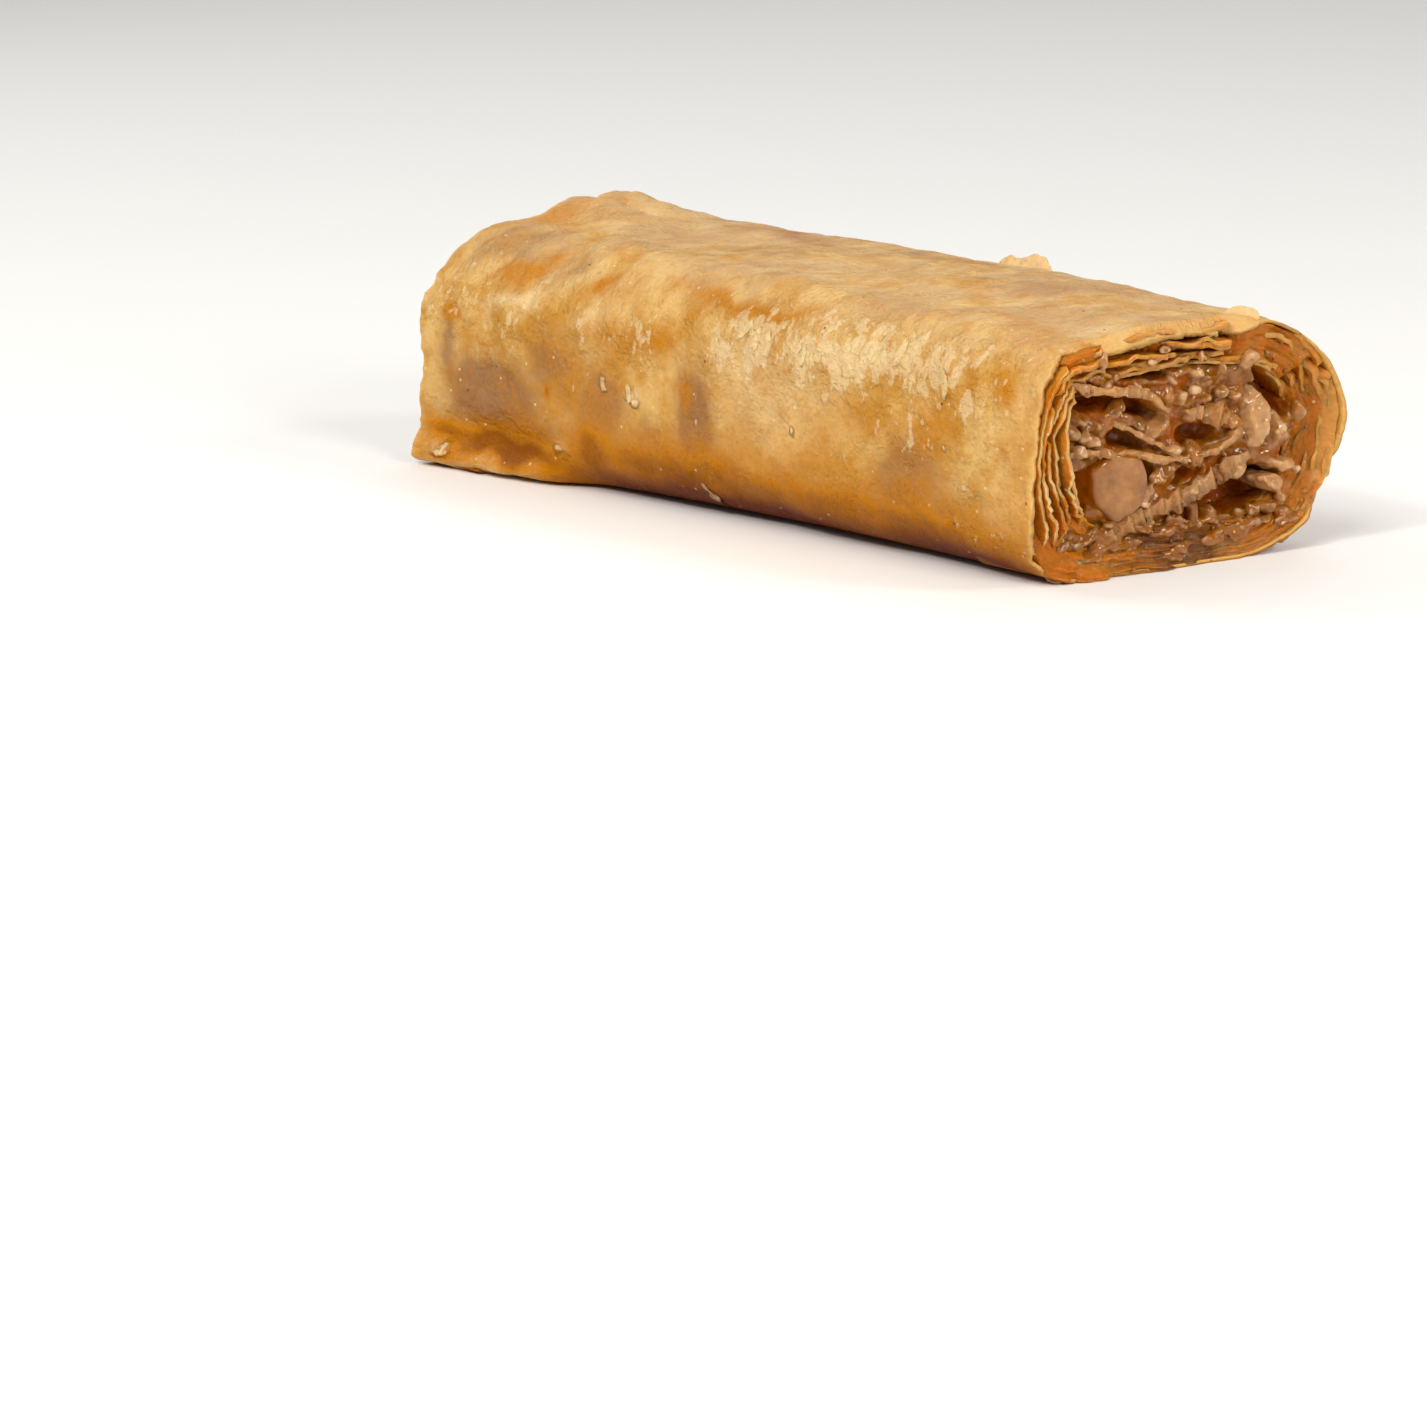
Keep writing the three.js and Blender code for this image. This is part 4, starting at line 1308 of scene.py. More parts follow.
    def scraps(self, host: Object, finish: Material) -> Object:
        """Thin scraps of leaf that cling to the outer leaf where it has flaked."""
        points, normals = places_of(host)
        zone = self.flaky(points, normals)
        inside = HALF - 1.5 - np.abs(points[:, 0] - 0.15 * (points[:, 1] - FORM.middle_y))
        weight = rise(zone, 0.55, 0.9) * rise(inside, 0, 1) * rise(points[:, 2], 4, 8)
        weight = weight * rise(cloud(points, 2.2, 481, 2), 0.0, 0.4)
        weight = weight * (np.linalg.norm(normals, axis=1) > 0.5)
        sizes = (self.scraps_per_mm2, self.smallest_scrap, self.largest_scrap)
        strewing = Strewing("leaf_scraps", *sizes, seed=9, flat=True)
        return strewing.over(host, weight, leaf_scraps(6, 470), finish)

    def build(self) -> list[Object]:
        """Builds all of the wall's pieces."""
        pieces = [self.skin(), self.lining()]
        for end in End:
            pieces += [self.edge_leaves(end), self.packed_leaves(end)]
        return pieces


# Where a bit of the outer leaf has dried white on the front side: x, z, half width, half height.
KNOTS = (
    (-35.6, 1.7, 0.9, 0.35),
    (-20.8, 3.4, 0.6, 0.5),
    (-15.0, 9.9, 0.5, 0.45),
    (-11.4, 9.0, 0.6, 0.4),
    (7.8, 9.2, 0.25, 0.3),
    (-3.4, 1.8, 0.4, 0.7),
    (-9.6, 14.9, 0.3, 0.5),
    (22.8, 11.4, 0.3, 0.25),
    (25.2, 9.9, 0.25, 0.25),
)
# Where leaves part at the near cut: y, z, after which leaf, and how much more than elsewhere.
GAPS = (
    (0.8, 18.5, 1, 9.0),
    (-5.5, 18.5, 2, 5.0),
    (2.5, 18.0, 3, 4.0),
    (13.0, 14.5, 3, 3.0),
    (-14.4, 5.0, 0, 1.5),
    (-14.4, 6.0, 2, 1.5),
    (-14.4, 7.0, 4, 1.5),
    (15.5, 10.0, 1, 2.0),
)
# Where the outer leaf has broken away at the near cut: y, z, how wide as a share of u, how deep.
NOTCHES = (
    (3.6, 19.0, 0.025, 1.3),
    (-11.0, 18.3, 0.09, 1.1),
    (-8.6, 18.9, 0.05, 0.8),
    (14.6, 5.5, 0.08, 1.2),
    (-13.6, 1.6, 0.03, 0.5),
    (-11.6, 0.3, 0.04, 0.8),
    (-8.0, 0.0, 0.03, 0.5),
)


@dataclass(frozen=True)
class StandingFlake:
    """A loose flake that stands up from the top: where its root is, and how it stands."""

    t: float
    u: float
    length: float
    lift: float
    lean: float
    turn: float
    thick: float = 0.5


@dataclass
class LooseFlakes:
    """The broken flakes that stand up along the back edge of the top."""

    flakes: tuple[StandingFlake, ...] = (
        StandingFlake(0.22, 1.89, 7.0, 1.9, 0.4, -0.12),
        StandingFlake(0.95, 2.02, 3.2, 1.4, 0.3, 0.3),
    )
    spacing: float = 0.14

    def flake(self, one: StandingFlake, seed: int) -> Skin:
        """One flake as points, faces and bake shares: a crumpled sheet with a torn upper edge."""
        root, normal = FORM.wound(one.t, one.u, 0.0)
        side = np.cross(normal, (1.0, 0.0, 0.0))
        along = np.linspace(-0.5, 0.5, int(one.length / self.spacing))[None, :] + np.zeros((14, 1))
        up = np.linspace(0, 1, 14)[:, None]
        line = np.stack([along * one.length, 0 * along, up * 3 + 0 * along], -1) + seed
        level = line * (1, 1, 0)
        torn = 0.75 + 0.45 * cloud(level, 2.4, seed, 2) + 0.08 * cloud(level, 0.7, seed + 1, 2)
        high = one.lift * torn * np.clip(1 - (2 * np.abs(along)) ** 3, 0, 1) ** 0.5
        turned = along * one.length
        place = (
            root
            + turned[..., None] * np.array([math.cos(one.turn), 0, 0])
            + (turned * math.sin(one.turn))[..., None] * side
            + (up * high - 0.35)[..., None] * normal
            + (one.lean * up**2 * high)[..., None] * side
        )
        bend = (0.25 * cloud(line, (2.6, 1, 2.6), seed + 5, 2) * rise(up, 0, 0.5))[..., None] * side
        half = 0.5 * one.thick * (0.8 + 0.4 * cloud(line, 1.8, seed + 7, 2)) * lerp(0.8, 0.25, up)
        outer, inner = place + bend - half[..., None] * side, place + bend + half[..., None] * side
        points, faces = shell(outer, inner, False)
        rim = 0.1 * rise(up, 0.6, 1.0) + 0 * along
        pale = 0.9 + 0.3 * cloud(line, 1.2, seed + 9, 2)
        bake = bake_shares(pale, 0.04, 0.0, rim).reshape(-1, 4)
        return points, faces, np.concatenate([bake, bake])

    def build(self) -> Object:
        """Builds the flakes as one piece."""
        parts = [self.flake(one, 500 + 20 * n) for n, one in enumerate(self.flakes)]
        return joined("standing_flakes", parts)


@dataclass(frozen=True)
class ScrollLine:
    """A crumpled inner leaf: its line across the roll at the near cut, from its root to its free edge.

    Its near edge stands back a little from the cut, and its lens is how much it is swollen near its
    free edge.
    """

    name: str
    back: float
    thick: float
    y: tuple[float, ...]
    z: tuple[float, ...]
    lens: float = 0.0


@dataclass
class Scroll:
    """The crumpled inner leaves, which run through the filling from cut to cut."""

    leaves: tuple[ScrollLine, ...] = (
        ScrollLine("tongue", 0.2, 0.6, (-11.4, -9.4, -6.2, -3.6, -1.5), (15.8, 14.9, 14.7, 14.2, 12.6)),
        ScrollLine(
            "curl",
            0.5,
            0.42,
            (-11.9, -9, -5.5, -1, 3.6, 5.6, 4.4, 0.4),
            (9.6, 9.9, 9.7, 8.8, 8.7, 10.2, 11.4, 12.3),
            2.6,
        ),
        ScrollLine("fold", 0.7, 0.34, (0.2, -2.4, -4.4, -6), (8.9, 10.2, 11.4, 12.2)),
        ScrollLine("shelf", 0.45, 1.15, (-6, -3, 0.6, 3.8, 6.8), (2.7, 4.6, 5.6, 6.9, 8.3)),
    )
    spacing: float = 0.17
    wave: float = 0.24

    def sheet(self, leaf: ScrollLine, seed: int) -> Skin:
        """One leaf as points, faces and bake shares."""
        knots = list(zip(leaf.y, leaf.z))
        length = sum(math.dist(a, b) for a, b in zip(knots, knots[1:]))
        line = spline(knots, int(length / self.spacing))
        behind = np.array([0, 0.08, 0.18, 0.32, 0.5, 0.72, 1.0, 1.35, 1.8, 2.4, 3.2, 4.3, 5.8, 8, 11, 15])
        ends = -1 + behind / HALF
        t = np.concatenate([ends, np.linspace(-0.5, 0.5, 5), (1 - behind / HALF)[::-1]])[:, None]
        y, z = FORM.drifted(t, line[:, 0], line[:, 1])
        slope = np.stack([np.gradient(y, axis=1), np.gradient(z, axis=1)], -1)
        slope = slope / np.linalg.norm(slope, axis=-1, keepdims=True)
        across = np.stack([np.zeros_like(y), -slope[..., 1], slope[..., 0]], -1)
        place = np.stack([FORM.station_x(t, y, z, leaf.back), y, z], -1)
        free = np.linspace(0, 1, len(line))
        held = rise(free, 0, 0.12)
        bend = held * (self.wave * cloud(place, (5, 3, 3), seed, 2) + 0.16 * cloud(place, 1.1, seed + 3, 3))
        torn = 0.4 * cloud(place, 2.0, seed + 11, 2) + 0.3 * cloud(place, 0.7, seed + 13, 2)
        edge = torn + 0.14 * cloud(place, 0.3, seed + 15)
        pulled = np.exp(-(1 - np.abs(t)) * HALF / 1.6) * np.sign(t)
        middle = place + across * bend[..., None]
        middle[..., 0] += pulled * edge
        uneven = 1 + 0.45 * cloud(place, 1.3, seed + 17, 2) + 0.45 * cloud(place, 0.5, seed + 18)
        thick = leaf.thick * uneven
        lens = bell(free, 0.86, 0.08)
        thick = thick * (1 + leaf.lens * lens)
        thick = thick * lerp(1, 0.55, rise(free, 0.9, 1)) * (1 + 0.2 * np.exp(-(1 - np.abs(t)) * HALF / 0.5))
        up, down = middle + across * thick[..., None] / 2, middle - across * thick[..., None] / 2
        points, faces = shell(up.transpose(1, 0, 2), down.transpose(1, 0, 2), False)
        inside = (1 - np.abs(t)) * HALF + 0 * y
        worn = np.maximum(np.exp(-inside / 0.2), 0.7 * rise(free, 0.95, 1))
        rim = 0.4 * worn * (0.7 + 0.6 * cloud(place, 1.2, seed + 19, 2))
        # Darker the further in from the cut: painted shade.
        toast_and_shade = 0.08 + 0.75 * rise(inside, 0.3, 4) + 0.3 * cloud(place, 2.2, seed + 21, 2)
        toast_and_shade = toast_and_shade + 0.12 * leaf.lens * lens
        soaked = 0.45 + 0.5 * cloud(place, 2.5, seed + 23, 2) + 0.35 * (leaf.thick > 1)
        pale = 0.3 + 0.4 * cloud(place, 1.6, seed + 25, 2) - 0.3 * (leaf.thick > 1)
        bake = bake_shares(pale, toast_and_shade, soaked, rim).transpose(1, 0, 2).reshape(-1, 4)
        return points, faces, np.concatenate([bake, bake])

    def build(self) -> list[Object]:
        """Builds the leaves, each a piece of its own."""
        made = []
        for index, leaf in enumerate(self.leaves):
            points, faces, bake = self.sheet(leaf, 300 + 40 * index)
            made.append(mesh_object(f"{leaf.name}_leaf", points, faces, bake))
        return made


# ------------------------------------------------------------------------------ filling


def ball(level: int) -> tuple[Array, Array]:
    """A unit ball of even triangles, as points and faces."""
    data = bpy.data.meshes.new("ball")
    shape = bmesh.new()
    bmesh.ops.create_icosphere(shape, subdivisions=level, radius=1.0)
    shape.to_mesh(data)
    shape.free()
    points = rows_of(data.vertices, "co", 3)
    faces = np.array([list(p.vertices) for p in data.polygons])
    bpy.data.meshes.remove(data)
    return points, faces


def chopped(level: int, seed: int, cuts: int, softness: float) -> tuple[Array, Array]:
    """A chopped kernel: a ball with flat cuts and soft edges.

    Args:
        level: how finely its surface is divided.
        seed: for the directions and depths of the cuts.
        cuts: how many flat cuts it has.
        softness: how round the edges of the cuts are.

    Returns:
        The points and the faces of a kernel about one across each way from its middle.
    """
    points, faces = ball(level)
    draw = np.random.default_rng(seed)
    normals = draw.normal(size=(cuts, 3))
    normals /= np.linalg.norm(normals, axis=1, keepdims=True)
    reach = draw.uniform(0.5, 0.85, size=cuts)
    ahead = np.maximum(points @ normals.T, 1e-3)
    distances = np.column_stack([np.ones(len(points)), reach / ahead])
    radius = -softness * np.log(np.exp(-distances / softness).sum(axis=1))
    radius = radius * (1 + 0.07 * cloud(points, 0.6, seed, 2))
    return points * radius[:, None], faces


def capped(rows: Array) -> tuple[Array, Array]:
    """A closed skin over rings of points, with a fan of faces over the first and the last ring."""
    count, around = rows.shape[:2]
    points = np.vstack([rows.reshape(-1, 3), rows[0].mean(axis=0), rows[-1].mean(axis=0)])
    first = np.arange(around)
    last = first + (count - 1) * around
    fans = [
        np.stack([np.roll(first, -1), first, np.full(around, len(points) - 2)], -1),
        np.stack([last, np.roll(last, -1), np.full(around, len(points) - 1)], -1),
    ]
    return points, np.concatenate([triangles(grid_faces(count, around, True)), *fans])


def triangles(faces: Array) -> Array:
    """Four-sided faces cut into triangles; triangles stay as they are."""
    return faces if faces.shape[1] == 3 else np.concatenate([faces[:, [0, 1, 2]], faces[:, [0, 2, 3]]])


def softened(points: Array, faces: Array, rounds: int) -> Array:
    """Points moved towards the mean of their neighbours, a few rounds of half the way."""
    sides = np.concatenate([faces[:, [n, (n + 1) % faces.shape[1]]] for n in range(faces.shape[1])])
    count = np.bincount(sides[:, 0], minlength=len(points))[:, None]
    for _ in range(rounds):
        mean = [np.bincount(sides[:, 0], column[sides[:, 1]], len(points)) for column in points.T]
        mean = np.stack(mean, -1) / count
        points = lerp(points, mean, 0.5)
    return points


def normals_of(points: Array, faces: Array) -> Array:
    """The normal at each point of a skin."""
    turned = np.cross(points[faces[:, 2]] - points[faces[:, 0]], points[faces[:, -1]] - points[faces[:, 1]])
    count = len(points)
    columns = [sum(np.bincount(corners, column, count) for corners in faces.T) for column in turned.T]
    total = np.stack(columns, -1)
    return total / np.maximum(np.linalg.norm(total, axis=1, keepdims=True), 1e-12)


def fused(parts: list[Skin], cell: float) -> Skin:
    """Closed parts run together into one skin, as syrup does with what it coats.

    Args:
        parts: the points, faces and bake shares of each.
        cell: the size of the new faces.

    Returns:
        The points, faces and bake shares of the skin.
    """
    source = joined("parts_to_fuse", [(points, triangles(faces), bake) for points, faces, bake in parts])
    change = source.modifiers.new("fuse", "REMESH")
    change.mode = "VOXEL"
    change.voxel_size = cell * MM
    change.adaptivity = 0.0
    data = evaluated(source)
    points = rows_of(data.vertices, "co", 3) / MM
    corners = np.empty(len(data.loops), dtype=int)
    data.loops.foreach_get("vertex_index", corners)
    faces = corners.reshape(len(data.polygons), -1)
    bpy.data.meshes.remove(data)
    old = source.data
    bpy.data.objects.remove(source)
    bpy.data.meshes.remove(old)
    places = np.concatenate([part[0] for part in parts])
    bakes = np.concatenate([part[2] for part in parts])
    tree = KDTree(len(places))
    for index, place in enumerate(places):
        tree.insert(place, index)
    tree.balance()
    nearest = np.array([tree.find(point)[1] for point in points])
    return points, faces, bakes[nearest]


@dataclass(frozen=True)
class ShownNut:
    """A nut that shows at the near cut: its place across the roll, half sizes and how far back."""

    y: float
    z: float
    half_y: float
    half_z: float
    back: float
    soaked: float = 0.2
    half_x: float = 3.1
    tilt: float = 0.0


def crumb(y: float, z: float, half_y: float, half_z: float, back: float, soaked: float) -> ShownNut:
    """A small piece of nut, about as deep as it is wide."""
    return ShownNut(y, z, half_y, half_z, back, soaked, 0.5 * (half_y + half_z) + 0.15)


# The crumbs that show at the near cut: y, z, both half sizes, how far back and how soaked.
CRUMBS = (
    (-11.4, 8.0, 0.75, 0.8, 0.1, 0.25),
    (-10.0, 9.1, 0.6, 1.0, 0.2, 0.25),
    (-9.1, 10.1, 0.65, 0.6, 0.0, 0.0),
    (-7.7, 10.6, 0.6, 0.5, 0.1, 0.0),
    (-8.4, 11.1, 0.55, 0.5, 0.2, 0.15),
    (-9.7, 11.6, 0.75, 0.6, 0.2, 0.2),
    (-10.9, 10.9, 0.6, 0.6, 0.3, 0.3),
    (-10.8, 12.6, 0.6, 0.6, 0.3, 0.3),
    (-8.1, 15.5, 0.8, 0.5, 0.2, 0.35),
    (-6.3, 15.6, 0.8, 0.45, 0.3, 0.35),
    (-7.6, 16.9, 0.5, 0.8, 0.0, 0.25),
    (-3.2, 16.4, 0.5, 0.3, 0.0, 0.0),
    (-2.0, 17.3, 0.6, 0.35, 0.1, 0.15),
    (0.1, 13.3, 0.45, 0.65, 0.0, 0.0),
    (1.2, 13.8, 0.55, 0.4, 0.1, 0.0),
    (1.2, 15.1, 0.6, 0.35, -0.1, 0.0),
    (1.35, 16.5, 0.4, 0.45, -0.1, 0.0),
    (3.7, 15.3, 0.3, 0.5, 0.1, 0.1),
    (6.4, 15.7, 0.8, 0.9, 0.0, 0.1),
    (5.2, 13.0, 0.5, 0.5, 0.2, 0.2),
    (2.4, 13.1, 0.8, 0.5, 0.4, 0.45),
    (4.0, 13.4, 0.7, 0.5, 0.3, 0.4),
    (-0.4, 9.4, 0.75, 0.3, -0.1, 0.0),
    (1.8, 5.9, 0.5, 0.32, -0.1, 0.0),
    (-2.8, 5.4, 0.5, 0.45, 0.0, 0.0),
    (10.8, 6.9, 0.8, 0.6, 0.3, 0.1),
    (11.7, 6.5, 0.4, 0.5, 0.1, 0.0),
    (10.6, 4.6, 0.5, 0.6, 0.3, 0.25),
    (11.7, 11.1, 0.5, 0.8, 0.3, 0.3),
    (2.4, 4.3, 0.5, 1.1, 0.5, 0.45),
    (2.8, 3.3, 0.55, 0.5, 0.4, 0.45),
    (-2.0, 3.9, 0.7, 0.5, 0.3, 0.5),
    (-3.9, 4.3, 0.7, 0.45, 0.2, 0.5),
    (5.6, 9.6, 0.6, 0.8, 0.5, 0.5),
    (6.4, 8.1, 0.8, 0.6, 0.8, 0.6),
    (-12.9, 3.0, 0.6, 0.5, 0.0, 0.3),
    (-5.3, 3.3, 0.8, 0.4, 0.3, 0.6),
    (-0.2, 2.9, 1.0, 0.5, 0.3, 0.6),
)


@dataclass(frozen=True)
class Hollow:
    """A hollow in the filling's cut face: its middle, half sizes, depth and turn."""

    y: float
    z: float
    half_y: float
    half_z: float
    deep: float
    turn: float = 0.0


HOLLOWS = {
    End.NEAR: (
        Hollow(-8.0, 14.2, 2.8, 1.4, 4.0, -0.1),
        Hollow(-3.0, 15.4, 2.4, 0.5, 3.0, -0.1),
        Hollow(-3.4, 13.0, 2.2, 0.8, 3.4, -0.3),
        Hollow(-4.3, 10.6, 1.9, 0.8, 3.4, -0.35),
        Hollow(-2.4, 7.6, 0.9, 0.9, 4.0),
        Hollow(-9.0, 6.4, 1.7, 2.0, 5.0),
        Hollow(6.8, 4.9, 4.4, 2.0, 5.2, 0.2),
        Hollow(9.3, 12.8, 2.6, 1.7, 4.5, -0.5),
        Hollow(2.6, 10.2, 2.0, 0.9, 3.5),
        Hollow(1.6, 7.3, 1.5, 0.6, 2.6, 0.3),
        Hollow(11.3, 8.6, 0.8, 1.6, 3.0),
    ),
    End.FAR: (
        Hollow(6.0, 6.5, 3.2, 1.4, 5.5, 0.3),
        Hollow(-6.5, 12.4, 2.6, 1.3, 5.0, -0.2),
        Hollow(3.5, 13.4, 2.2, 0.8, 4.0, 0.2),
        Hollow(-3.5, 6.2, 1.9, 1.0, 4.5, -0.4),
        Hollow(9.6, 11.4, 1.6, 1.6, 4.5),
        Hollow(-9.5, 8.2, 1.1, 1.8, 4.0),
    ),
}


@dataclass
class Filling:
    """The nut filling: its packed core, the nuts and hollows of its two cut faces, and the half nut."""

    clearance: float = 0.3
    plug_deep: float = 9.0
    recess: float = 1.2
    cell: dict[End, float] = field(default_factory=lambda: {End.NEAR: 0.145, End.FAR: 0.18})
    shown: tuple[ShownNut, ...] = (
        ShownNut(7.7, 10.8, 1.3, 2.9, 0.0, 0.0, 3.1, 0.12),
        ShownNut(10.3, 9.5, 1.3, 1.9, 0.2, 0.0, 3.1, -0.1),
        ShownNut(-8.7, 12.6, 1.5, 0.9, 0.4, 0.5),
        ShownNut(-7.0, 11.9, 1.2, 0.8, 0.3, 0.4),
        ShownNut(-7.1, 14.9, 1.6, 0.7, 0.2, 0.3),
        ShownNut(0.2, 15.2, 1.3, 0.9, 0.4, 0.5),
        ShownNut(3.4, 14.5, 1.6, 0.9, 0.4, 0.45),
        ShownNut(-1.4, 11.3, 2.1, 1.0, 0.4, 0.15, 3.1, 0.8),
        ShownNut(9.6, 5.8, 1.6, 0.75, 0.3, 0.1, 3.1, -0.5),
        ShownNut(10.3, 7.2, 1.5, 0.6, 0.4, 0.05, 2.0, -0.15),
        ShownNut(-0.3, 7.6, 1.4, 0.9, 1.0, 0.7),
        ShownNut(3.2, 7.9, 1.2, 0.9, 1.2, 0.6),
        ShownNut(-0.6, 4.6, 1.3, 1.1, 0.4, 0.45),
    )
    half_nut: tuple[tuple[float, float], ...] = (
        (-7.7, 8.4),
        (-6.0, 9.6),
        (-3.7, 9.1),
        (-2.9, 7.2),
        (-3.2, 5.2),
        (-5.2, 4.1),
        (-7.2, 5.9),
    )
    small: tuple[ShownNut, ...] = tuple(crumb(*row) for row in CRUMBS)
    wet_lumps: int = 60
    large_from: float = 0.95
    cut_softness: float = 0.05
    corner_softness: float = 0.12
    half_nut_back: float = 0.3
    strewn_reach: float = 0.94
    deepest_strewn: float = 2.4
    chips_per_mm2: float = 0.45
    smallest_chip: float = 0.12
    largest_chip: float = 0.36
    strewn_nuts: dict[End, int] = field(default_factory=lambda: {End.NEAR: 24, End.FAR: 70})

    def behind(self, end: End, y: Array, z: Array) -> Array:
        """How far behind its cut the filling's face lies, with its lumps and hollows."""
        place = np.stack([0 * y + 50.0 * end.value, y, z], -1)
        seed = 400 + 50 * end.value
        deep = self.recess + 1.1 * (cells(place, 1.7, seed) - 0.5) + 0.6 * cloud(place, 3.0, seed + 5, 2)
        for one in HOLLOWS[end]:
            c, s = math.cos(one.turn), math.sin(one.turn)
            along = ((y - one.y) * c + (z - one.z) * s) / one.half_y
            across = ((z - one.z) * c - (y - one.y) * s) / one.half_z
            reach = (np.abs(along) ** 2.4 + np.abs(across) ** 2.4) ** (1 / 2.4)
            inside = rise(reach + 0.22 * cloud(place, 1.1, seed + 9, 2), 1.15, 0.7)
            floor = one.deep + 0.5 * cloud(place, 1.5, seed + 11, 2)
            deep = np.maximum(deep, lerp(deep, floor, inside))
        return np.maximum(deep, 0.15)

    def plug(self, end: End) -> Skin:
        """The filling behind a cut, as points, faces and bake shares."""
        hand = end.t
        u = FORM.round_steps(0.24, 1.0)
        hub = np.array([0, FORM.middle_y, FORM.middle_z])
        rim = FORM.wound(hand, u, FORM.fanned(hand, u, FORM.wall - 0.1))[0]
        face = lerp(hub, rim[None], np.linspace(0.02, 1.0, 74)[:, None, None])
        deep = self.behind(end, face[..., 1], face[..., 2])
        deep = lerp(deep, np.maximum(deep, 1.6), rise(np.linspace(0.02, 1, 74), 0.9, 1.0)[:, None])
        face[..., 0] = FORM.station_x(hand, face[..., 1], face[..., 2], deep)
        back = lerp(hub, rim[None], np.linspace(1.0, 0.1, 6)[:, None, None])
        back[..., 0] = FORM.station_x(hand, back[..., 1], back[..., 2], self.plug_deep)
        points, faces = capped(np.concatenate([face, back]))
        sunk = np.append(np.concatenate([deep, np.full(back.shape[:2], self.plug_deep)]).ravel(), [1.2, 9.0])
        # Darker where the face lies deeper, down in the hollows: painted shade.
        toast_and_shade = 0.4 + 0.7 * cloud(points, 2.6, 421, 2) + 0.8 * rise(sunk, 1.6, 4.0)
        soaked = 0.45 + 0.7 * cloud(points, 2.2, 423, 2)
        light = 0.3 + 0.9 * cloud(points, 0.9, 425, 2)
        return points, faces, bake_shares(light, toast_and_shade, soaked, 0.0)

    def placed(self, nut: ShownNut, points: Array, end: End) -> Array:
        """The points of a unit kernel moved to a nut's place, so that its front stands at back."""
        x, y, z = (points * (nut.half_x, nut.half_y, nut.half_z)).T
        c, s = math.cos(nut.tilt), math.sin(nut.tilt)
        turned = np.stack([x, y * c - z * s, y * s + z * c], -1)
        front = FORM.station_x(end.t, nut.y, nut.z, nut.back)
        reach = turned[:, 0].max() if end is End.NEAR else turned[:, 0].min()
        return turned + (front - reach, nut.y, nut.z)

    def loose_nuts(self, end: End) -> list[ShownNut]:
        """The small nuts strewn in a cut face, clear of its hollows and of the half nut."""
        draw = np.random.default_rng(31 + end.value)
        rim = FORM.wound(end.t, FORM.round_steps(0.5, 1.0), FORM.wall + 0.5)[0][:, 1:]
        hub = np.array([FORM.middle_y, FORM.middle_z])
        nuts = []
        while len(nuts) < self.strewn_nuts[end]:
            y, z = lerp(hub, rim[draw.integers(len(rim))], math.sqrt(draw.uniform()) * self.strewn_reach)
            deep = float(self.behind(end, np.array([y]), np.array([z]))[0])
            big = end is End.FAR and len(nuts) < 16
            on_half_nut = end is End.NEAR and -10.5 < y < -2.6 and 4.2 < z < 9.8
            if deep > self.deepest_strewn or on_half_nut:
                continue
            half = draw.uniform(0.9, 1.9) if big else draw.uniform(0.5, 1.15)
            other = half * draw.uniform(0.45, 1.0)
            back = max(deep - 0.45 - 0.5 * other, -0.1)
            soaked, tilt = draw.uniform(0.0, 0.8), draw.uniform(-1.5, 1.5)
            nuts.append(ShownNut(y, z, half, other, back, soaked, half, tilt))
        return nuts

    def lumps_below(self, end: End) -> list[ShownNut]:
        """The wet lumps and crumbs that stick to the pressed leaves under the filling."""
        draw = np.random.default_rng(71 + end.value)
        lumps = []
        for _ in range(self.wet_lumps):
            y, z = draw.uniform(-11, 12), 3.9 - 3.5 * draw.uniform() ** 1.7
            half_y, half_z = draw.uniform(0.5, 1.7), draw.uniform(0.3, 0.7)
            back, soaked = draw.uniform(0.1, 0.6), draw.uniform(0.65, 1.0)
            half_x, tilt = draw.uniform(0.6, 1.1), draw.uniform(-0.3, 0.3)
            lumps.append(ShownNut(y, z, half_y, half_z, back, soaked, half_x, tilt))
        return lumps

    def face(self, end: End) -> Object:
        """The cut face of the filling: packed crumbs, nuts and hollows, all run together."""
        nuts = self.loose_nuts(end) + self.lumps_below(end)
        if end is End.NEAR:
            nuts = list(self.shown) + list(self.small) + nuts
        parts = [self.plug(end)]
        for index, nut in enumerate(nuts):
            level, cuts = (5, 7) if max(nut.half_y, nut.half_z) > self.large_from else (4, 5)
            points, faces = chopped(level, 20 + index, cuts, self.cut_softness)
            placed = self.placed(nut, points, end)
            sunk = end.value * (FORM.station_x(end.t, placed[:, 1], placed[:, 2]) - placed[:, 0])
            # Wetter and darker the deeper a nut lies behind the cut, down in the hollows: painted shade.
            wet = nut.soaked + 0.3 * cloud(placed, 1.2, 30 + index, 2) + rise(sunk, 1.2, 3.5)
            toast_and_shade = 0.8 * rise(sunk, 1.6, 4.2) + 0.4 * nut.soaked
            bare = 0.2 * max(1 - 3 * nut.soaked, 0)
            parts.append((placed, faces, bake_shares(1 - 1.3 * nut.soaked, toast_and_shade, wet, bare)))
        points, faces, bake = fused(parts, self.cell[end])
        points = softened(points, faces, 2)
        normals = normals_of(points, faces)
        rough = 0.22 * cloud(points, 1.0, 430, 3) + 0.1 * (0.4 - np.abs(cloud(points, 0.6, 433)))
        points = points + normals * rough[:, None]
        crease = ((softened(points, faces, 10) - points) * normals).sum(axis=1)
        bake = softened(bake, faces, 2)
